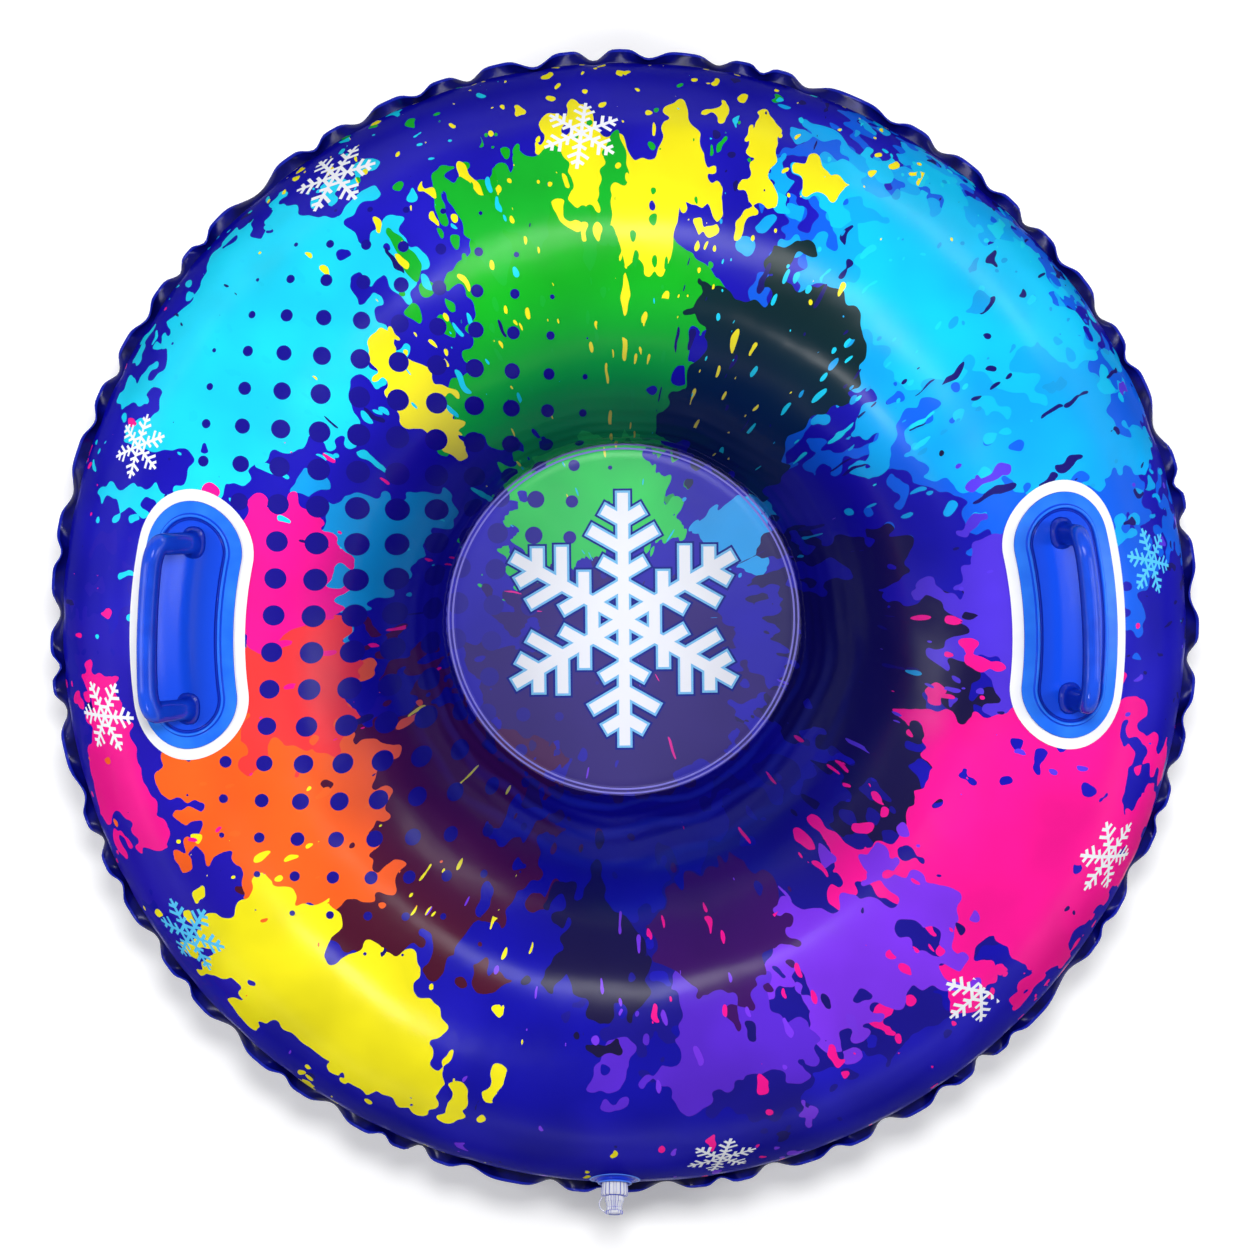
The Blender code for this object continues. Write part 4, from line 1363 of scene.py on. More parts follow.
    def bottom_sheet(self) -> None:
        """Builds and dresses the plain bottom sheet."""
        line = spaced(self.section.bottom_line(), self.bottom_rows, self.bottom_crowding)
        lengths = line_lengths(line)
        theta = self.angles(self.columns)
        item = loft("bottom_sheet", self.turned(line, self.rim_push(lengths, theta), theta))
        points = np.zeros(len(item.data.vertices) * 3)
        item.data.vertices.foreach_get("co", points)
        points[2::3] = np.maximum(points[2::3], 0)
        item.data.vertices.foreach_set("co", points)
        settle(item, self.finishes.underside, "bottom_skin", "tube")

    def seat_line(self) -> np.ndarray:
        """Half the seat floor's section, from its middle above over the weld line to its middle below.

        Returns:
            (radius, height) points.
        """
        inner = self.section.floor_radius - self.weld_width
        top = self.section.floor_height
        ridge = self.weld_width / 4
        flat = [(radius, top) for radius in np.linspace(0, inner - ridge, self.seat_rows_above)]
        double = rounded(
            (
                (inner - ridge, top),
                (inner, top - self.weld_ridge / 2),
                (inner + ridge, top + self.weld_ridge),
                (inner + 2 * ridge, top - self.weld_ridge / 2),
                (inner + 3 * ridge, top + self.weld_ridge),
                (inner + 4 * ridge - self.section.weld_gap, top - self.weld_ridge / 2),
                (inner + 4 * ridge, top),
                (inner + 5 * ridge, top),
                (inner + 5 * ridge, top - self.section.floor_thickness),
            ),
            ridge / 2,
        )
        bottom = top - self.section.floor_thickness
        below = [(radius, bottom) for radius in np.linspace(inner, 0, self.seat_rows_below)]
        return np.vstack((flat, double, below))

    def seat_floor(self) -> None:
        """Builds and dresses the seat floor with its double weld line."""
        line = self.seat_line()
        theta = self.angles(self.seat_columns)
        slack = np.sin(math.pi * np.clip(line[:, :1] / self.section.floor_radius, 0, 1)) ** 2
        sag = self.undulation * slack * self.sag_noise.at(theta)
        item = weld(loft("seat_floor_disc", around(line[:, :1], line[:, 1:] + sag, theta)))
        self.lay_print(item, np.array([vertex.co[:2] for vertex in item.data.vertices]))
        settle(item, self.finishes.seat_print, "seat_floor", "tube")

    def rim_ruffle(self) -> None:
        """Builds and dresses the fused margin, which swings up and down around the rim."""
        theta = self.angles(self.ruffle_columns)
        root_radius, root_height = self.section.arc(self.section.seam_angle)
        drawn_in = self.pucker.pinch_depth * self.pucker.pinch(theta)
        swing = np.sin(self.pucker.half_phase(theta))
        swing = np.sign(swing) * np.abs(swing) ** self.ruffle_power
        lift = self.mean_tilt + self.tilt_swing * self.tilt_noise.at(theta)
        tilt = self.ruffle_tilt * swing * lift
        width = self.ruffle_width * (1 + self.width_swing * self.width_noise.at(theta))
        share = np.linspace(0, 1, self.ruffle_rows)[:, None]
        bend = tilt * (self.ruffle_root_bend + (1 - self.ruffle_root_bend) * share)
        reach = width * share
        middle_radius = root_radius - drawn_in + reach * np.cos(bend)
        middle_height = root_height + reach * np.sin(bend)
        half = self.ruffle_thickness / 2 * np.ones_like(share)
        half[-2:] = self.ruffle_thickness * np.array(self.ruffle_lip_shares)[:, None]
        upper = (middle_radius - half * np.sin(bend), middle_height + half * np.cos(bend))
        lower = (middle_radius + half * np.sin(bend), middle_height - half * np.cos(bend))
        lip = root_radius - drawn_in[None] - self.ruffle_lip
        level = np.full_like(lip, root_height)
        offset = self.ruffle_thickness / 2
        radius = np.vstack((lip, upper[0], lower[0][::-1], lip))
        height = np.vstack((level + offset, upper[1], lower[1][::-1], level - offset))
        rings = around(radius, height, theta)
        item = loft("rim_ruffle", rings, closed_rows=True)
        # Painted highlight: the rows of the outer lip take the lighter accent.
        edge = np.zeros(rings.shape[:2])
        edge[self.ruffle_rows - 1 : self.ruffle_rows + 3] = 1
        set_accent(item, edge)
        settle(item, self.finishes.ruffle, "rim_weld_flange", "tube")

    def build(self) -> None:
        """Builds every piece of the body."""
        self.top_sheet()
        self.bottom_sheet()
        self.seat_floor()
        self.rim_ruffle()


class Side(Enum):
    """The two handles, by the sign of their X."""

    LEFT = -1
    RIGHT = 1


# How far each grip leans outwards from its base's normal while nobody holds it.
GRIP_LEANS = {Side.LEFT: math.radians(22), Side.RIGHT: math.radians(-4.5)}


@dataclass
class GrabHandle:
    """One handle: a white patch, a moulded base and the flexible grip on it."""

    section: InflatedSection
    finishes: Finishes
    side: Side
    lean: float
    forward_angle: float = math.radians(3.0)
    outward_angle: float = math.radians(13.1)
    base_length: float = 213.7 * MM
    base_width: float = 86 * MM
    patch_margin: float = 9.8 * MM
    patch_lift: float = 0.5 * MM
    patch_thickness: float = 0.7 * MM
    base_lift: float = 0.5 * MM
    base_thickness: float = 2.2 * MM
    base_edge: float = 1.5 * MM
    base_margin: float = 10.5 * MM
    bead_width: float = 4.0 * MM
    bead_height: float = 3.8 * MM
    groove_width: float = 1.3 * MM
    groove_floor: float = 0.9 * MM
    foot_spacing: float = 143 * MM
    hinge_height: float = 9.2 * MM
    grip_reach: float = 46 * MM
    grip_depth: float = 18.5 * MM
    grip_width: float = 14.5 * MM
    grip_corner: float = 22 * MM
    grip_bow: float = 4.5 * MM
    grip_squareness: float = 2.5
    parting_line: float = 0.02
    leg_bend: float = 7 * MM
    leg_steps: int = 8
    corner_steps: int = 12
    path_steps: int = 150
    path_crowding: float = 0.3
    foot_flare: float = 0.5
    flare_height: float = 4.5 * MM
    flank_from: float = 0.7
    flank_range: float = 0.8
    end_steps: int = 40
    side_steps: int = 28
    ring_steps: int = 48

    @property
    def azimuth(self) -> float:
        """The handle's angle around the tube."""
        return self.forward_angle if self.side is Side.RIGHT else math.pi - self.forward_angle

    @property
    def middle_radius(self) -> float:
        """The handle's distance from the tube's axis."""
        return self.section.crown_radius + self.section.section_radius * math.sin(self.outward_angle)

    @property
    def word(self) -> str:
        """The side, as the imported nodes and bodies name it."""
        return self.side.name.lower()

    def on_sheet(self, across: np.ndarray, along: np.ndarray, lift: float) -> np.ndarray:
        """Points over the top sheet.

        Args:
            across: Distances outwards across the handle.
            along: Distances along the handle.
            lift: Distance off the sheet.

        Returns:
            World points.
        """
        lean = self.outward_angle + across / self.section.section_radius
        flat = self.section.arc(math.pi / 2 - lean, lift)
        angle = self.azimuth + along / self.middle_radius
        return around(flat[..., 0], flat[..., 1], angle)

    def outline(self, inset: float, grow: float) -> tuple[np.ndarray, np.ndarray]:
        """Places round the handle's outline: two straight sides and two round ends.

        Args:
            inset: How far the outline is drawn in.
            grow: How far it was widened first.

        Returns:
            Distances across and along the handle.
        """
        straight = (self.base_length - self.base_width) / 2
        radius = self.base_width / 2 + grow - inset
        across, along = [], []
        for side in (1, -1):
            for t in np.linspace(-1, 1, self.side_steps, endpoint=False):
                across.append(side * radius)
                along.append(side * straight * t)
            for angle in np.linspace(0, math.pi, self.end_steps, endpoint=False):
                across.append(side * radius * math.cos(angle))
                along.append(side * (straight + radius * math.sin(angle)))
        return np.array(across), np.array(along)

    def pad(self, name: str, stations: np.ndarray, grow: float, accent: np.ndarray | None = None) -> Piece:
        """Lofts a pad that follows the sheet.

        Args:
            name: The piece's name.
            stations: (inset, lift) points from the middle below to the middle above.
            grow: How far the outline is widened.
            accent: Each station's share of the finish's second colour, or None.

        Returns:
            The piece.
        """
        rings = np.array([self.on_sheet(*self.outline(inset, grow), lift) for inset, lift in stations])
        item = loft(name, rings)
        if accent is not None:
            set_accent(item, np.repeat(accent[:, None], rings.shape[1], 1))
        return weld(item)

    def patch(self) -> None:
        """Builds and dresses the white patch."""
        half = self.base_width / 2 + self.patch_margin
        below, above = self.patch_lift, self.patch_lift + self.patch_thickness
        edge = rounded(((3 * MM, below), (0, below), (0, above), (3 * MM, above)), self.patch_thickness / 3)
        ends = [(half * share, below) for share in (1, 0.75, 0.5, 0.25)]
        stations = np.vstack((ends, edge, [(inset, above) for inset, _ in reversed(ends)]))
        item = self.pad(f"{self.word}_white_patch", stations, self.patch_margin)
        settle(item, self.finishes.patch, f"{self.word}_handle_patch", "tube")

    @property
    def base_below(self) -> float:
        """The base's underside above the sheet."""
        return self.patch_lift + self.patch_thickness + self.base_lift

    @property
    def floor_lift(self) -> float:
        """The base's floor above the sheet."""
        return self.base_below + self.base_thickness

    def base(self) -> None:
        """Builds and dresses the moulded base with its margin, bead, groove and floor."""
        half = self.base_width / 2
        below = self.base_below
        bead = self.base_margin + self.bead_width
        inner = bead + self.groove_width
        top = rounded(
            (
                (half * 0.25, below),
                (0, below),
                (0, below + self.base_edge),
                (self.base_margin, below + self.base_edge * 0.85),
                (self.base_margin + self.bead_width * 0.3, below + self.bead_height),
                (self.base_margin + self.bead_width * 0.7, below + self.bead_height),
                (bead, below + self.groove_floor),
                (inner, below + self.groove_floor),
                (inner + 0.4 * MM, self.floor_lift),
                (half * 0.7, self.floor_lift),
            ),
            0.7 * MM,
        )
        under = [(half * share, below) for share in (1, 0.75, 0.5)]
        floor = [(half * share, self.floor_lift) for share in (0.8, 0.9, 1)]
        stations = np.vstack((under, top, floor))
        # Painted shade: the recessed floor and the groove take the deeper accent, and thin dark lines are
        # painted on the outer side wall and at the foot of the bead.
        deep = np.clip((stations[:, 0] - bead + self.bead_width * 0.4) / self.groove_width, 0, 1) / 2
        for line, reach, tone in (
            (0.0, 0.3 * MM, 1.0),
            (self.base_margin + 0.2 * MM, 0.7 * MM, 0.5),
            (bead + self.groove_width / 2, self.groove_width, 1.0),
        ):
            deep[(np.abs(stations[:, 0] - line) < reach) & (stations[:, 1] > below)] = tone
        item = self.pad(f"{self.word}_moulded_base", stations, 0, deep)
        settle(item, self.finishes.handle, f"{self.word}_handle_base", "tube")

    def grip(self) -> None:
        """Builds and dresses the grip: two legs and a bar, which bend just above the feet."""
        half = self.foot_spacing / 2
        feet = self.on_sheet(np.zeros(2), np.array((-half, half)), self.floor_lift + self.hinge_height)
        middle, along = feet.mean(0), feet[1] - feet[0]
        half_span = np.linalg.norm(along) / 2
        along = along / (2 * half_span)
        out = np.array((math.cos(self.azimuth), math.sin(self.azimuth), 0))
        upright = np.array((0, 0, 1))
        pad_normal = out * math.sin(self.outward_angle) + upright * math.cos(self.outward_angle)
        tilt = self.outward_angle + self.lean
        up = out * math.sin(tilt) + upright * math.cos(tilt)
        across = np.cross(along, up)
        floor = [foot - pad_normal * self.hinge_height for foot in feet]
        rise = up * self.grip_reach
        bend = rounded((floor[0], feet[0], feet[0] + rise / 2), self.leg_bend, self.leg_steps)
        far_bend = rounded((feet[1] + rise / 2, feet[1], floor[1]), self.leg_bend, self.leg_steps)
        corners = (bend[-1], feet[0] + rise, feet[1] + rise, far_bend[0])
        bar = rounded(corners, self.grip_corner, self.corner_steps)
        path = spaced(np.vstack((bend[:-1], bar, far_bend[1:])), self.path_steps, self.path_crowding)
        place = (path - middle) @ along / half_span
        height = np.clip((path - middle) @ up / self.grip_reach, 0, 1)
        path = path + np.outer(self.grip_bow * np.maximum(0, 1 - place**2) * height, across)
        way = directions(path)
        wide = across - (way @ across)[:, None] * way
        wide /= np.linalg.norm(wide, axis=1)[:, None]
        deep = np.cross(way, wide)
        lengths = line_lengths(path)
        to_foot = np.minimum(lengths, lengths[-1] - lengths)
        flare = 1 + self.foot_flare * np.exp(-((to_foot / self.flare_height) ** 2))
        phi = np.linspace(0, 2 * math.pi, self.ring_steps, endpoint=False)
        x, y = squared_circle(phi, self.grip_squareness)
        parting = 1 + self.parting_line * (np.abs(np.sin(phi)) > 0.999)
        x, y = (self.grip_width / 2 * x * parting)[:, None], (self.grip_depth / 2 * y * parting)[:, None]
        rings = path[:, None] + flare[:, None, None] * (wide[:, None] * x + deep[:, None] * y)
        item = loft(f"{self.word}_moulded_grip", capped(path, rings))
        # Painted shade: the grip darkens on the faces that turn away from its base's normal, as light from
        # above leaves them.
        facing = np.outer(wide @ pad_normal, np.cos(phi)) + np.outer(deep @ pad_normal, np.sin(phi))
        flank_shade = np.clip((self.flank_from - facing) / self.flank_range, 0, 1)
        set_accent(item, np.vstack((flank_shade[:1], flank_shade, flank_shade[-1:])) / 2)
        weld(item)
        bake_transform(item)
        settle(item, self.finishes.grip, f"{self.word}_handle_grip")

    def build(self) -> None:
        """Builds every piece of the handle."""
        self.patch()
        self.base()
        self.grip()


@dataclass
class InflationValve:
    """The valve: a welded collar, a clear stem, its plug on a strap and the check flap inside."""

    section: InflatedSection
    finishes: Finishes
    azimuth: float = math.radians(-91.85)
    rise: float = math.radians(23.6)
    collar_radius: float = 23 * MM
    collar_step_radius: float = 17.4 * MM
    collar_boss_radius: float = 15.6 * MM
    collar_height: float = 4 * MM
    collar_seating_rounds: int = 6
    crest_highlight: float = 1.3
    crest_reach: float = 0.8 * MM
    bore: float = 12.9 * MM
    stem_radius: float = 12.4 * MM
    stem_wall: float = 2.2 * MM
    stem_shoulder: float = 15 * MM
    neck_radius: float = 8.3 * MM
    tip_radius: float = 7 * MM
    stem_top: float = 28 * MM
    stem_bore: float = 4.6 * MM
    seat_thickness: float = 2.5 * MM
    retainer_radius: float = 15.8 * MM
    retainer_top: float = 3.4 * MM
    retainer_thickness: float = 2 * MM
    plug_head_radius: float = 8.1 * MM
    plug_head_thickness: float = 3 * MM
    plug_fit: float = 0.3 * MM
    rib_count: int = 18
    rib_depth: float = 0.6 * MM
    rib_wall: float = 1 * MM
    rib_fade: float = 0.5 * MM
    knurl_depth: float = 0.2 * MM
    strap_width: float = 3.2 * MM
    strap_thickness: float = 1.2 * MM
    strap_bulge: float = 5 * MM
    strap_drop_power: float = 1.2
    strap_squareness: float = 4.0
    strap_steps: int = 28
    strap_columns: int = 16
    opening_margin: float = 3 * MM

    def frame_matrix(self) -> Matrix:
        """The valve's place: on the sheet, Z out along the stem and Y along the rim.

        Returns:
            The matrix from the valve's own frame to the world.
        """
        out = Vector((math.cos(self.azimuth), math.sin(self.azimuth), 0))
        axis = out * math.cos(self.rise) + Vector((0, 0, math.sin(self.rise)))
        along = Vector((-math.sin(self.azimuth), math.cos(self.azimuth), 0))
        matrix = Matrix((along.cross(axis), along, axis)).transposed().to_4x4()
        radius, height = self.section.arc(self.rise)
        matrix.translation = out * radius + Vector((0, 0, height))
        return matrix

    def placed(self, local: np.ndarray) -> np.ndarray:
        """Moves points from the valve's own frame to the world.

        Args:
            local: The points, as an array with a last side of 3.

        Returns:
            The moved points.
        """
        matrix = np.array(self.frame_matrix())
        return local @ matrix[:3, :3].T + matrix[:3, 3]

    def turned(self, name: str, line: np.ndarray, ribs: int, depth: float, steps: int = 144) -> Piece:
        """Turns a (radius, height) line about the valve's axis, with flutes round its outside.

        Args:
            name: The piece's name.
            line: The line's points.
            ribs: How many ribs the flutes leave.
            depth: Half a flute's depth.
            steps: Points around.

        Returns:
            The piece.
        """
        phi = np.linspace(0, 2 * math.pi, steps, endpoint=False)
        radius, height = line[:, :1], line[:, 1:]
        ceiling = self.stem_shoulder - self.seat_thickness
        cup = self.stem_radius - self.stem_wall
        inner = np.where(height > ceiling + self.plug_fit, self.stem_bore, cup)
        outer = np.clip((radius - inner - self.rib_wall) / self.rib_fade, 0, 1) * (height > 0)
        radius = radius - depth * outer * (1 - np.cos(ribs * phi))
        return loft(name, self.placed(around(radius, height, phi)))

    def seated(self, radius: float, lift: float, phi: np.ndarray) -> np.ndarray:
        """A ring of points that lies over the curved sheet.

        Args:
            radius: The ring's radius about the valve's axis.
            lift: Its distance off the sheet.
            phi: Angles round the ring.

        Returns:
            World points.
        """
        axis = np.array(self.frame_matrix())[:3, 2]
        points = self.placed(around(radius, 0, phi))
        for _ in range(self.collar_seating_rounds):
            off = np.hypot(points[:, 0], points[:, 1]) - self.section.crown_radius
            reach = np.hypot(off, points[:, 2] - self.section.equator_height)
            points = points + np.outer(lift - (reach - self.section.section_radius), axis)
        return points

    def collar(self) -> None:
        """Builds and dresses the collar: a thin flange on the sheet and a stepped boss."""
        phi = np.linspace(0, 2 * math.pi, 96, endpoint=False)
        flange = [
            self.seated(radius, lift, phi)
            for radius, lift in (
                (self.collar_radius - 4 * MM, 0.3 * MM),
                (self.collar_radius, 0.3 * MM),
                (self.collar_radius + 0.2 * MM, 0.6 * MM),
                (self.collar_radius - 0.3 * MM, 1.0 * MM),
                (self.collar_radius - 2 * MM, 0.8 * MM),
                (self.collar_step_radius + 1 * MM, 0.8 * MM),
            )
        ]
        boss = rounded(
            (
                (self.collar_step_radius, 0.9 * MM),
                (self.collar_step_radius - 0.2 * MM, 2 * MM),
                (self.collar_boss_radius, 2.2 * MM),
                (self.collar_boss_radius - 0.4 * MM, self.collar_height),
                (self.bore + 0.7 * MM, self.collar_height),
                (self.bore, self.collar_height - 0.8 * MM),
                (self.bore, -3 * MM),
            ),
            0.4 * MM,
        )
        rings = np.vstack((np.array(flange), self.placed(around(boss[:, :1], boss[:, 1:], phi))))
        item = loft("blue_valve_collar", rings)
        # Painted highlights: the flange's lip and the crest of the boss take the lighter accent.
        edge = np.zeros(rings.shape[:2])
        edge[2:4] = 1
        crest = np.linalg.norm(boss - (self.collar_boss_radius - 0.4 * MM, self.collar_height), axis=1)
        edge[len(flange) :] = np.clip(self.crest_highlight - crest / self.crest_reach, 0, 1)[:, None]
        set_accent(item, edge)
        settle(item, self.finishes.collar, "valve_collar", "tube")

    def stem(self) -> None:
        """Builds and dresses the clear stem with its ribs, neck and bore."""
        foot = -self.retainer_top - self.retainer_thickness
        cup = self.stem_radius - self.stem_wall
        ceiling = self.stem_shoulder - self.seat_thickness
        neck_low = self.stem_shoulder + 3 * MM
        line = rounded(
            (
                (self.stem_bore, ceiling),
                (self.stem_bore, self.stem_top),
                (self.tip_radius, self.stem_top),
                (self.tip_radius + 0.4 * MM, self.stem_top - 2.4 * MM),
                (self.tip_radius - 0.4 * MM, self.stem_top - 3.2 * MM),
                (self.neck_radius - 0.3 * MM, neck_low + 2.4 * MM),
                (self.neck_radius + 0.3 * MM, neck_low + 1.6 * MM),
                (self.neck_radius, self.stem_shoulder + 0.4 * MM),
                (self.stem_radius - 0.7 * MM, self.stem_shoulder),
                (self.stem_radius, self.stem_shoulder - 1.2 * MM),
                (self.stem_radius - 0.5 * MM, self.collar_height),
                (self.stem_radius - 0.5 * MM, -self.retainer_top),
                (self.retainer_radius, -self.retainer_top),
                (self.retainer_radius, foot),
                (cup, foot),
                (cup, ceiling),
                (self.stem_bore, ceiling),
            ),
            0.35 * MM,
            3,
        )
        item = weld(self.turned("clear_valve_stem", line, self.rib_count, self.rib_depth))
        settle(item, self.finishes.clear, "valve_stem", "stem")

    def plug(self) -> None:
        """Builds and dresses the clear plug with its knurled head."""
        base = self.stem_top + self.plug_fit
        head = base + self.plug_head_thickness
        shank = self.stem_bore - self.plug_fit
        end = self.stem_shoulder - self.seat_thickness + 0.3 * MM
        line = rounded(
            (
                (0, head - 0.6 * MM),
                (self.plug_head_radius * 0.55, head - 0.6 * MM),
                (self.plug_head_radius * 0.65, head),
                (self.plug_head_radius - 0.3 * MM, head),
                (self.plug_head_radius, base + self.plug_head_thickness / 2),
                (self.plug_head_radius - 0.3 * MM, base),
                (shank, base),
                (shank, end + 3 * MM),
                (shank * 0.75, end),
                (0, end),
            ),
            0.4 * MM,
            3,
        )
        item = weld(self.turned("clear_valve_plug", line, self.rib_count, self.knurl_depth))
        settle(item, self.finishes.clear, "valve_plug", "plug")

    def tether(self) -> None:
        """Builds and dresses the flat strap from the plug's head to the stem's shoulder."""
        top = self.stem_top + self.plug_fit + self.plug_head_thickness / 2
        low = self.stem_shoulder + 0.9 * MM
        start, end = self.plug_head_radius - 0.2 * MM, self.stem_radius - 1.5 * MM
        t = np.linspace(0, 1, self.strap_steps)
        reach = start + (end - start) * t * t + self.strap_bulge * np.sin(math.pi * t)
        path = np.stack((0 * t, -reach, top + (low - top) * t**self.strap_drop_power), 1)
        flat = np.array((1.0, 0, 0))
        thick = np.cross(directions(path), flat)
        phi = np.linspace(0, 2 * math.pi, self.strap_columns, endpoint=False)
        x, y = squared_circle(phi, self.strap_squareness)
        x, y = (self.strap_width / 2 * x)[:, None], (self.strap_thickness / 2 * y)[:, None]
        rings = path[:, None] + flat * x + thick[:, None] * y
        item = weld(loft("clear_plug_strap", self.placed(capped(path, rings))))
        low_point, top_point = (self.frame_matrix() @ Vector(path[row]) for row in (-1, 0))
        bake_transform(item)
        settle(item, self.finishes.clear, "valve_tether")

    def check_flap(self) -> None:
        """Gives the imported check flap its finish."""
        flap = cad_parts["valve_flap"]
        flap.data.materials.clear()
        flap.data.materials.append(self.finishes.clear)
        log.info("valve_flap: the packed solid, dressed")

    def open_sheet(self, sheet: Piece) -> None:
        """Takes the faces of the top sheet out where the stem passes, under the collar.

        Args:
            sheet: The top sheet.
        """
        inverse = self.frame_matrix().inverted()
        opening = self.bore + self.opening_margin
        build = bmesh.new()
        build.from_mesh(sheet.data)
        hidden = []
        for face in build.faces:
            local = inverse @ face.calc_center_median()
            if math.hypot(local.x, local.y) < opening and abs(local.z) < self.collar_radius:
                hidden.append(face)
        bmesh.ops.delete(build, geom=hidden, context="FACES")
        build.to_mesh(sheet.data)
        build.free()
        log.info("%s: %d faces taken out for the stem", sheet.name, len(hidden))

    def build(self) -> None:
        """Builds every piece of the valve."""
        self.collar()
        self.stem()
        self.plug()
        self.tether()
        self.check_flap()


class LampUse(Enum):
    """Whether a lamp lights the tube or is mirrored in its gloss, as (lights, is mirrored)."""

    LIGHT = (True, False)
    GLINT = (False, True)


@dataclass
class Lamp:
    """One soft studio lamp: its place, size and power, and what it is there for."""

    name: str
    place: Point
    size: tuple[float, float]
    power: float
    use: LampUse


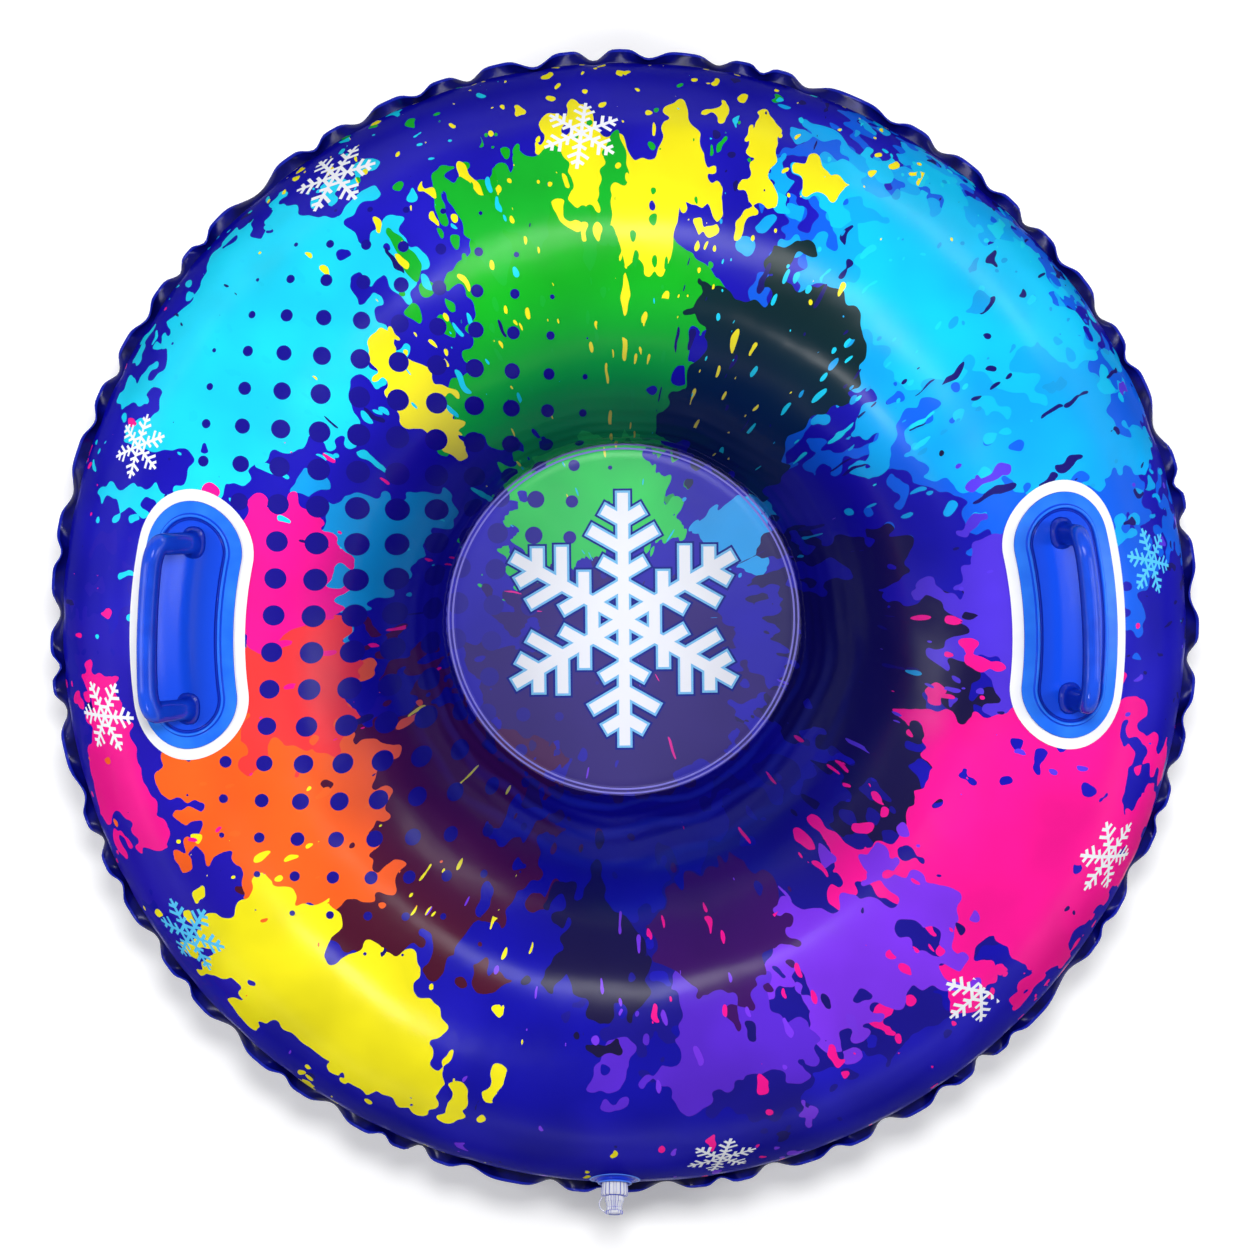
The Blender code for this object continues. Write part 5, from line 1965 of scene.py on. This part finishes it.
@dataclass
class Studio:
    """The pale floor, the soft lamps and the camera at the photograph's angle."""

    lamps: tuple[Lamp, ...] = (
        Lamp("key_from_behind", (0.0, 0.7, 3.1), (0.5, 0.4), 56.0, LampUse.LIGHT),
        Lamp("side_left", (-1.1, 0.1, 1.2), (0.16, 0.3), 6.5, LampUse.LIGHT),
        Lamp("side_right", (1.1, 0.1, 1.2), (0.16, 0.3), 6.5, LampUse.LIGHT),
        Lamp("front_soft", (0.0, -1.5, 0.45), (0.7, 0.25), 1.2, LampUse.LIGHT),
        Lamp("glint_left", (-1.1, 0.0, 1.2), (0.3, 0.7), 0.4, LampUse.GLINT),
        Lamp("glint_right", (1.1, 0.0, 1.2), (0.3, 0.7), 0.4, LampUse.GLINT),
        Lamp("streak_left", (-1.9, 0.0, 1.1), (0.5, 0.8), 2.2, LampUse.GLINT),
        Lamp("streak_right", (1.9, 0.0, 1.1), (0.5, 0.8), 2.2, LampUse.GLINT),
        Lamp("crown_soft", (0.12, 0.5, 2.3), (0.9, 0.42), 6.0, LampUse.GLINT),
        Lamp("crown_glow", (-0.86, -1.33, 2.2), (0.5, 0.3), 4.5, LampUse.GLINT),
        Lamp("low_window", (1.7, 1.7, 0.75), (1.3, 0.3), 4.0, LampUse.GLINT),
    )
    lamp_aim: Point = (0.0, 0.0, 140 * MM)
    floor_size: float = 14.0
    floor_in_light: str = "#b4b4b4"
    floor_seen: str = "#fcfcfc"
    floor_roughness: float = 0.9
    floor_glow: float = 0.25
    # The floor that the eye sees glows more from the first distance to the second, so it ends in white.
    far_glow: float = 0.7
    far_from: tuple[float, float] = (0.9, 2.6)
    zenith: float = 0.15
    horizon: float = 1.0
    sky_from: tuple[float, float] = (0.03, 0.2)
    camera_distance: float = 3.2
    camera_tilt: float = math.radians(5.0)
    camera_sway: float = math.radians(-1.2)
    camera_roll: float = math.radians(0.55)
    aim: Point = (1.2 * MM, 0.4 * MM, 140 * MM)
    frame_width: float = 1.137
    sensor: float = 36.0

    def light(self) -> None:
        """Places the lamps and the world."""
        for lamp in self.lamps:
            data = bpy.data.lights.new(lamp.name, "AREA")
            data.shape = "RECTANGLE"
            data.size, data.size_y = lamp.size
            data.energy = lamp.power
            item = bpy.data.objects.new(lamp.name, data)
            item.location = lamp.place
            aim = Vector(self.lamp_aim) - Vector(lamp.place)
            item.rotation_euler = aim.to_track_quat("-Z", "Y").to_euler()
            item.visible_diffuse, item.visible_glossy = lamp.use.value
            bpy.context.scene.collection.objects.link(item)
        world = bpy.data.worlds.new("pale_studio")
        world.use_nodes = True
        tree = world.node_tree
        tree.nodes.clear()
        way = add_node(tree, "TexCoord", output=0)
        height = add_node(tree, "SeparateXYZ", {0: way}, 2)
        low, high = self.sky_from
        sky = {0: height, 1: low, 2: high, 3: self.horizon, 4: self.zenith}
        strength = add_node(tree, "MapRange", sky)
        background = add_node(tree, "Background", {0: (1, 1, 1, 1), 1: strength})
        add_node(tree, "OutputWorld", {0: background})
        bpy.context.scene.world = world

    def floor(self) -> None:
        """Lays the pale floor, which keeps the tube's shadow."""
        half = self.floor_size / 2
        mesh = bpy.data.meshes.new("studio_floor")
        corners = [(-half, -half, 0), (half, -half, 0), (half, half, 0), (-half, half, 0)]
        mesh.from_pydata(corners, [], [(0, 1, 2, 3)])
        item = bpy.data.objects.new("studio_floor", mesh)
        bpy.context.scene.collection.objects.link(item)
        material, tree = new_material("matt_white_paper")
        seen = camera_ray = add_node(tree, "LightPath")
        for ray in ("Is Glossy Ray", "Is Transmission Ray"):
            seen = add_node(tree, "Math", {0: seen, 1: camera_ray.node.outputs[ray]}, operation="MAXIMUM")
        lit, pale = (
            add_node(
                tree, "BsdfPrincipled", {"Base Color": linear(color), "Roughness": self.floor_roughness}
            )
            for color in (self.floor_in_light, self.floor_seen)
        )
        place = add_node(tree, "TexCoord", output=3)
        reach = add_node(tree, "VectorMath", {0: place}, 1, operation="LENGTH")
        near, far = self.far_from
        glow = add_node(tree, "MapRange", {0: reach, 1: near, 2: far, 3: 0.0, 4: self.far_glow})
        raised = {0: glow, 1: camera_ray, 2: self.floor_glow}
        strength = add_node(tree, "Math", raised, operation="MULTIPLY_ADD")
        glow = add_node(tree, "Emission", {0: (1, 1, 1, 1), 1: strength})
        lifted = add_node(tree, "AddShader", {0: pale, 1: glow})
        mixed = add_node(tree, "MixShader", {0: seen, 1: lit, 2: lifted})
        add_node(tree, "OutputMaterial", {0: mixed})
        mesh.materials.append(material)

    def camera(self) -> None:
        """Places the camera above the tube, leaning as the photograph does."""
        data = bpy.data.cameras.new("camera")
        data.sensor_width = self.sensor
        data.lens = self.sensor * self.camera_distance / self.frame_width
        item = bpy.data.objects.new("camera", data)
        aim = Vector(self.aim)
        back = Vector((math.tan(self.camera_sway), math.tan(self.camera_tilt), 1)).normalized()
        item.location = aim + back * self.camera_distance
        right = Vector((0, 1, 0)).cross(back).normalized()
        level = Matrix((right, back.cross(right), back)).transposed()
        turn = Matrix.Rotation(-self.camera_roll, 3, back)
        item.rotation_euler = (turn @ level).to_euler()
        bpy.context.scene.collection.objects.link(item)
        bpy.context.scene.camera = item

    def build(self) -> None:
        """Builds the studio."""
        self.light()
        self.floor()
        self.camera()
        bpy.context.scene.view_settings.view_transform = "Standard"
        log.info("studio: %d lamps", len(self.lamps))


def main() -> None:
    """Builds the studio and the dressed snow tube."""
    logging.basicConfig(level=logging.INFO, format="%(name)s: %(message)s")
    Studio().build()
    finishes = Finishes.made()
    section = InflatedSection()
    InflatedBody(section, finishes, Pucker()).build()
    valve = InflationValve(section, finishes)
    valve.open_sheet(bpy.data.objects[TOP_SHEET])
    valve.build()
    for side, lean in GRIP_LEANS.items():
        GrabHandle(section, finishes, side, lean).build()


if __name__ == "__main__":
    main()
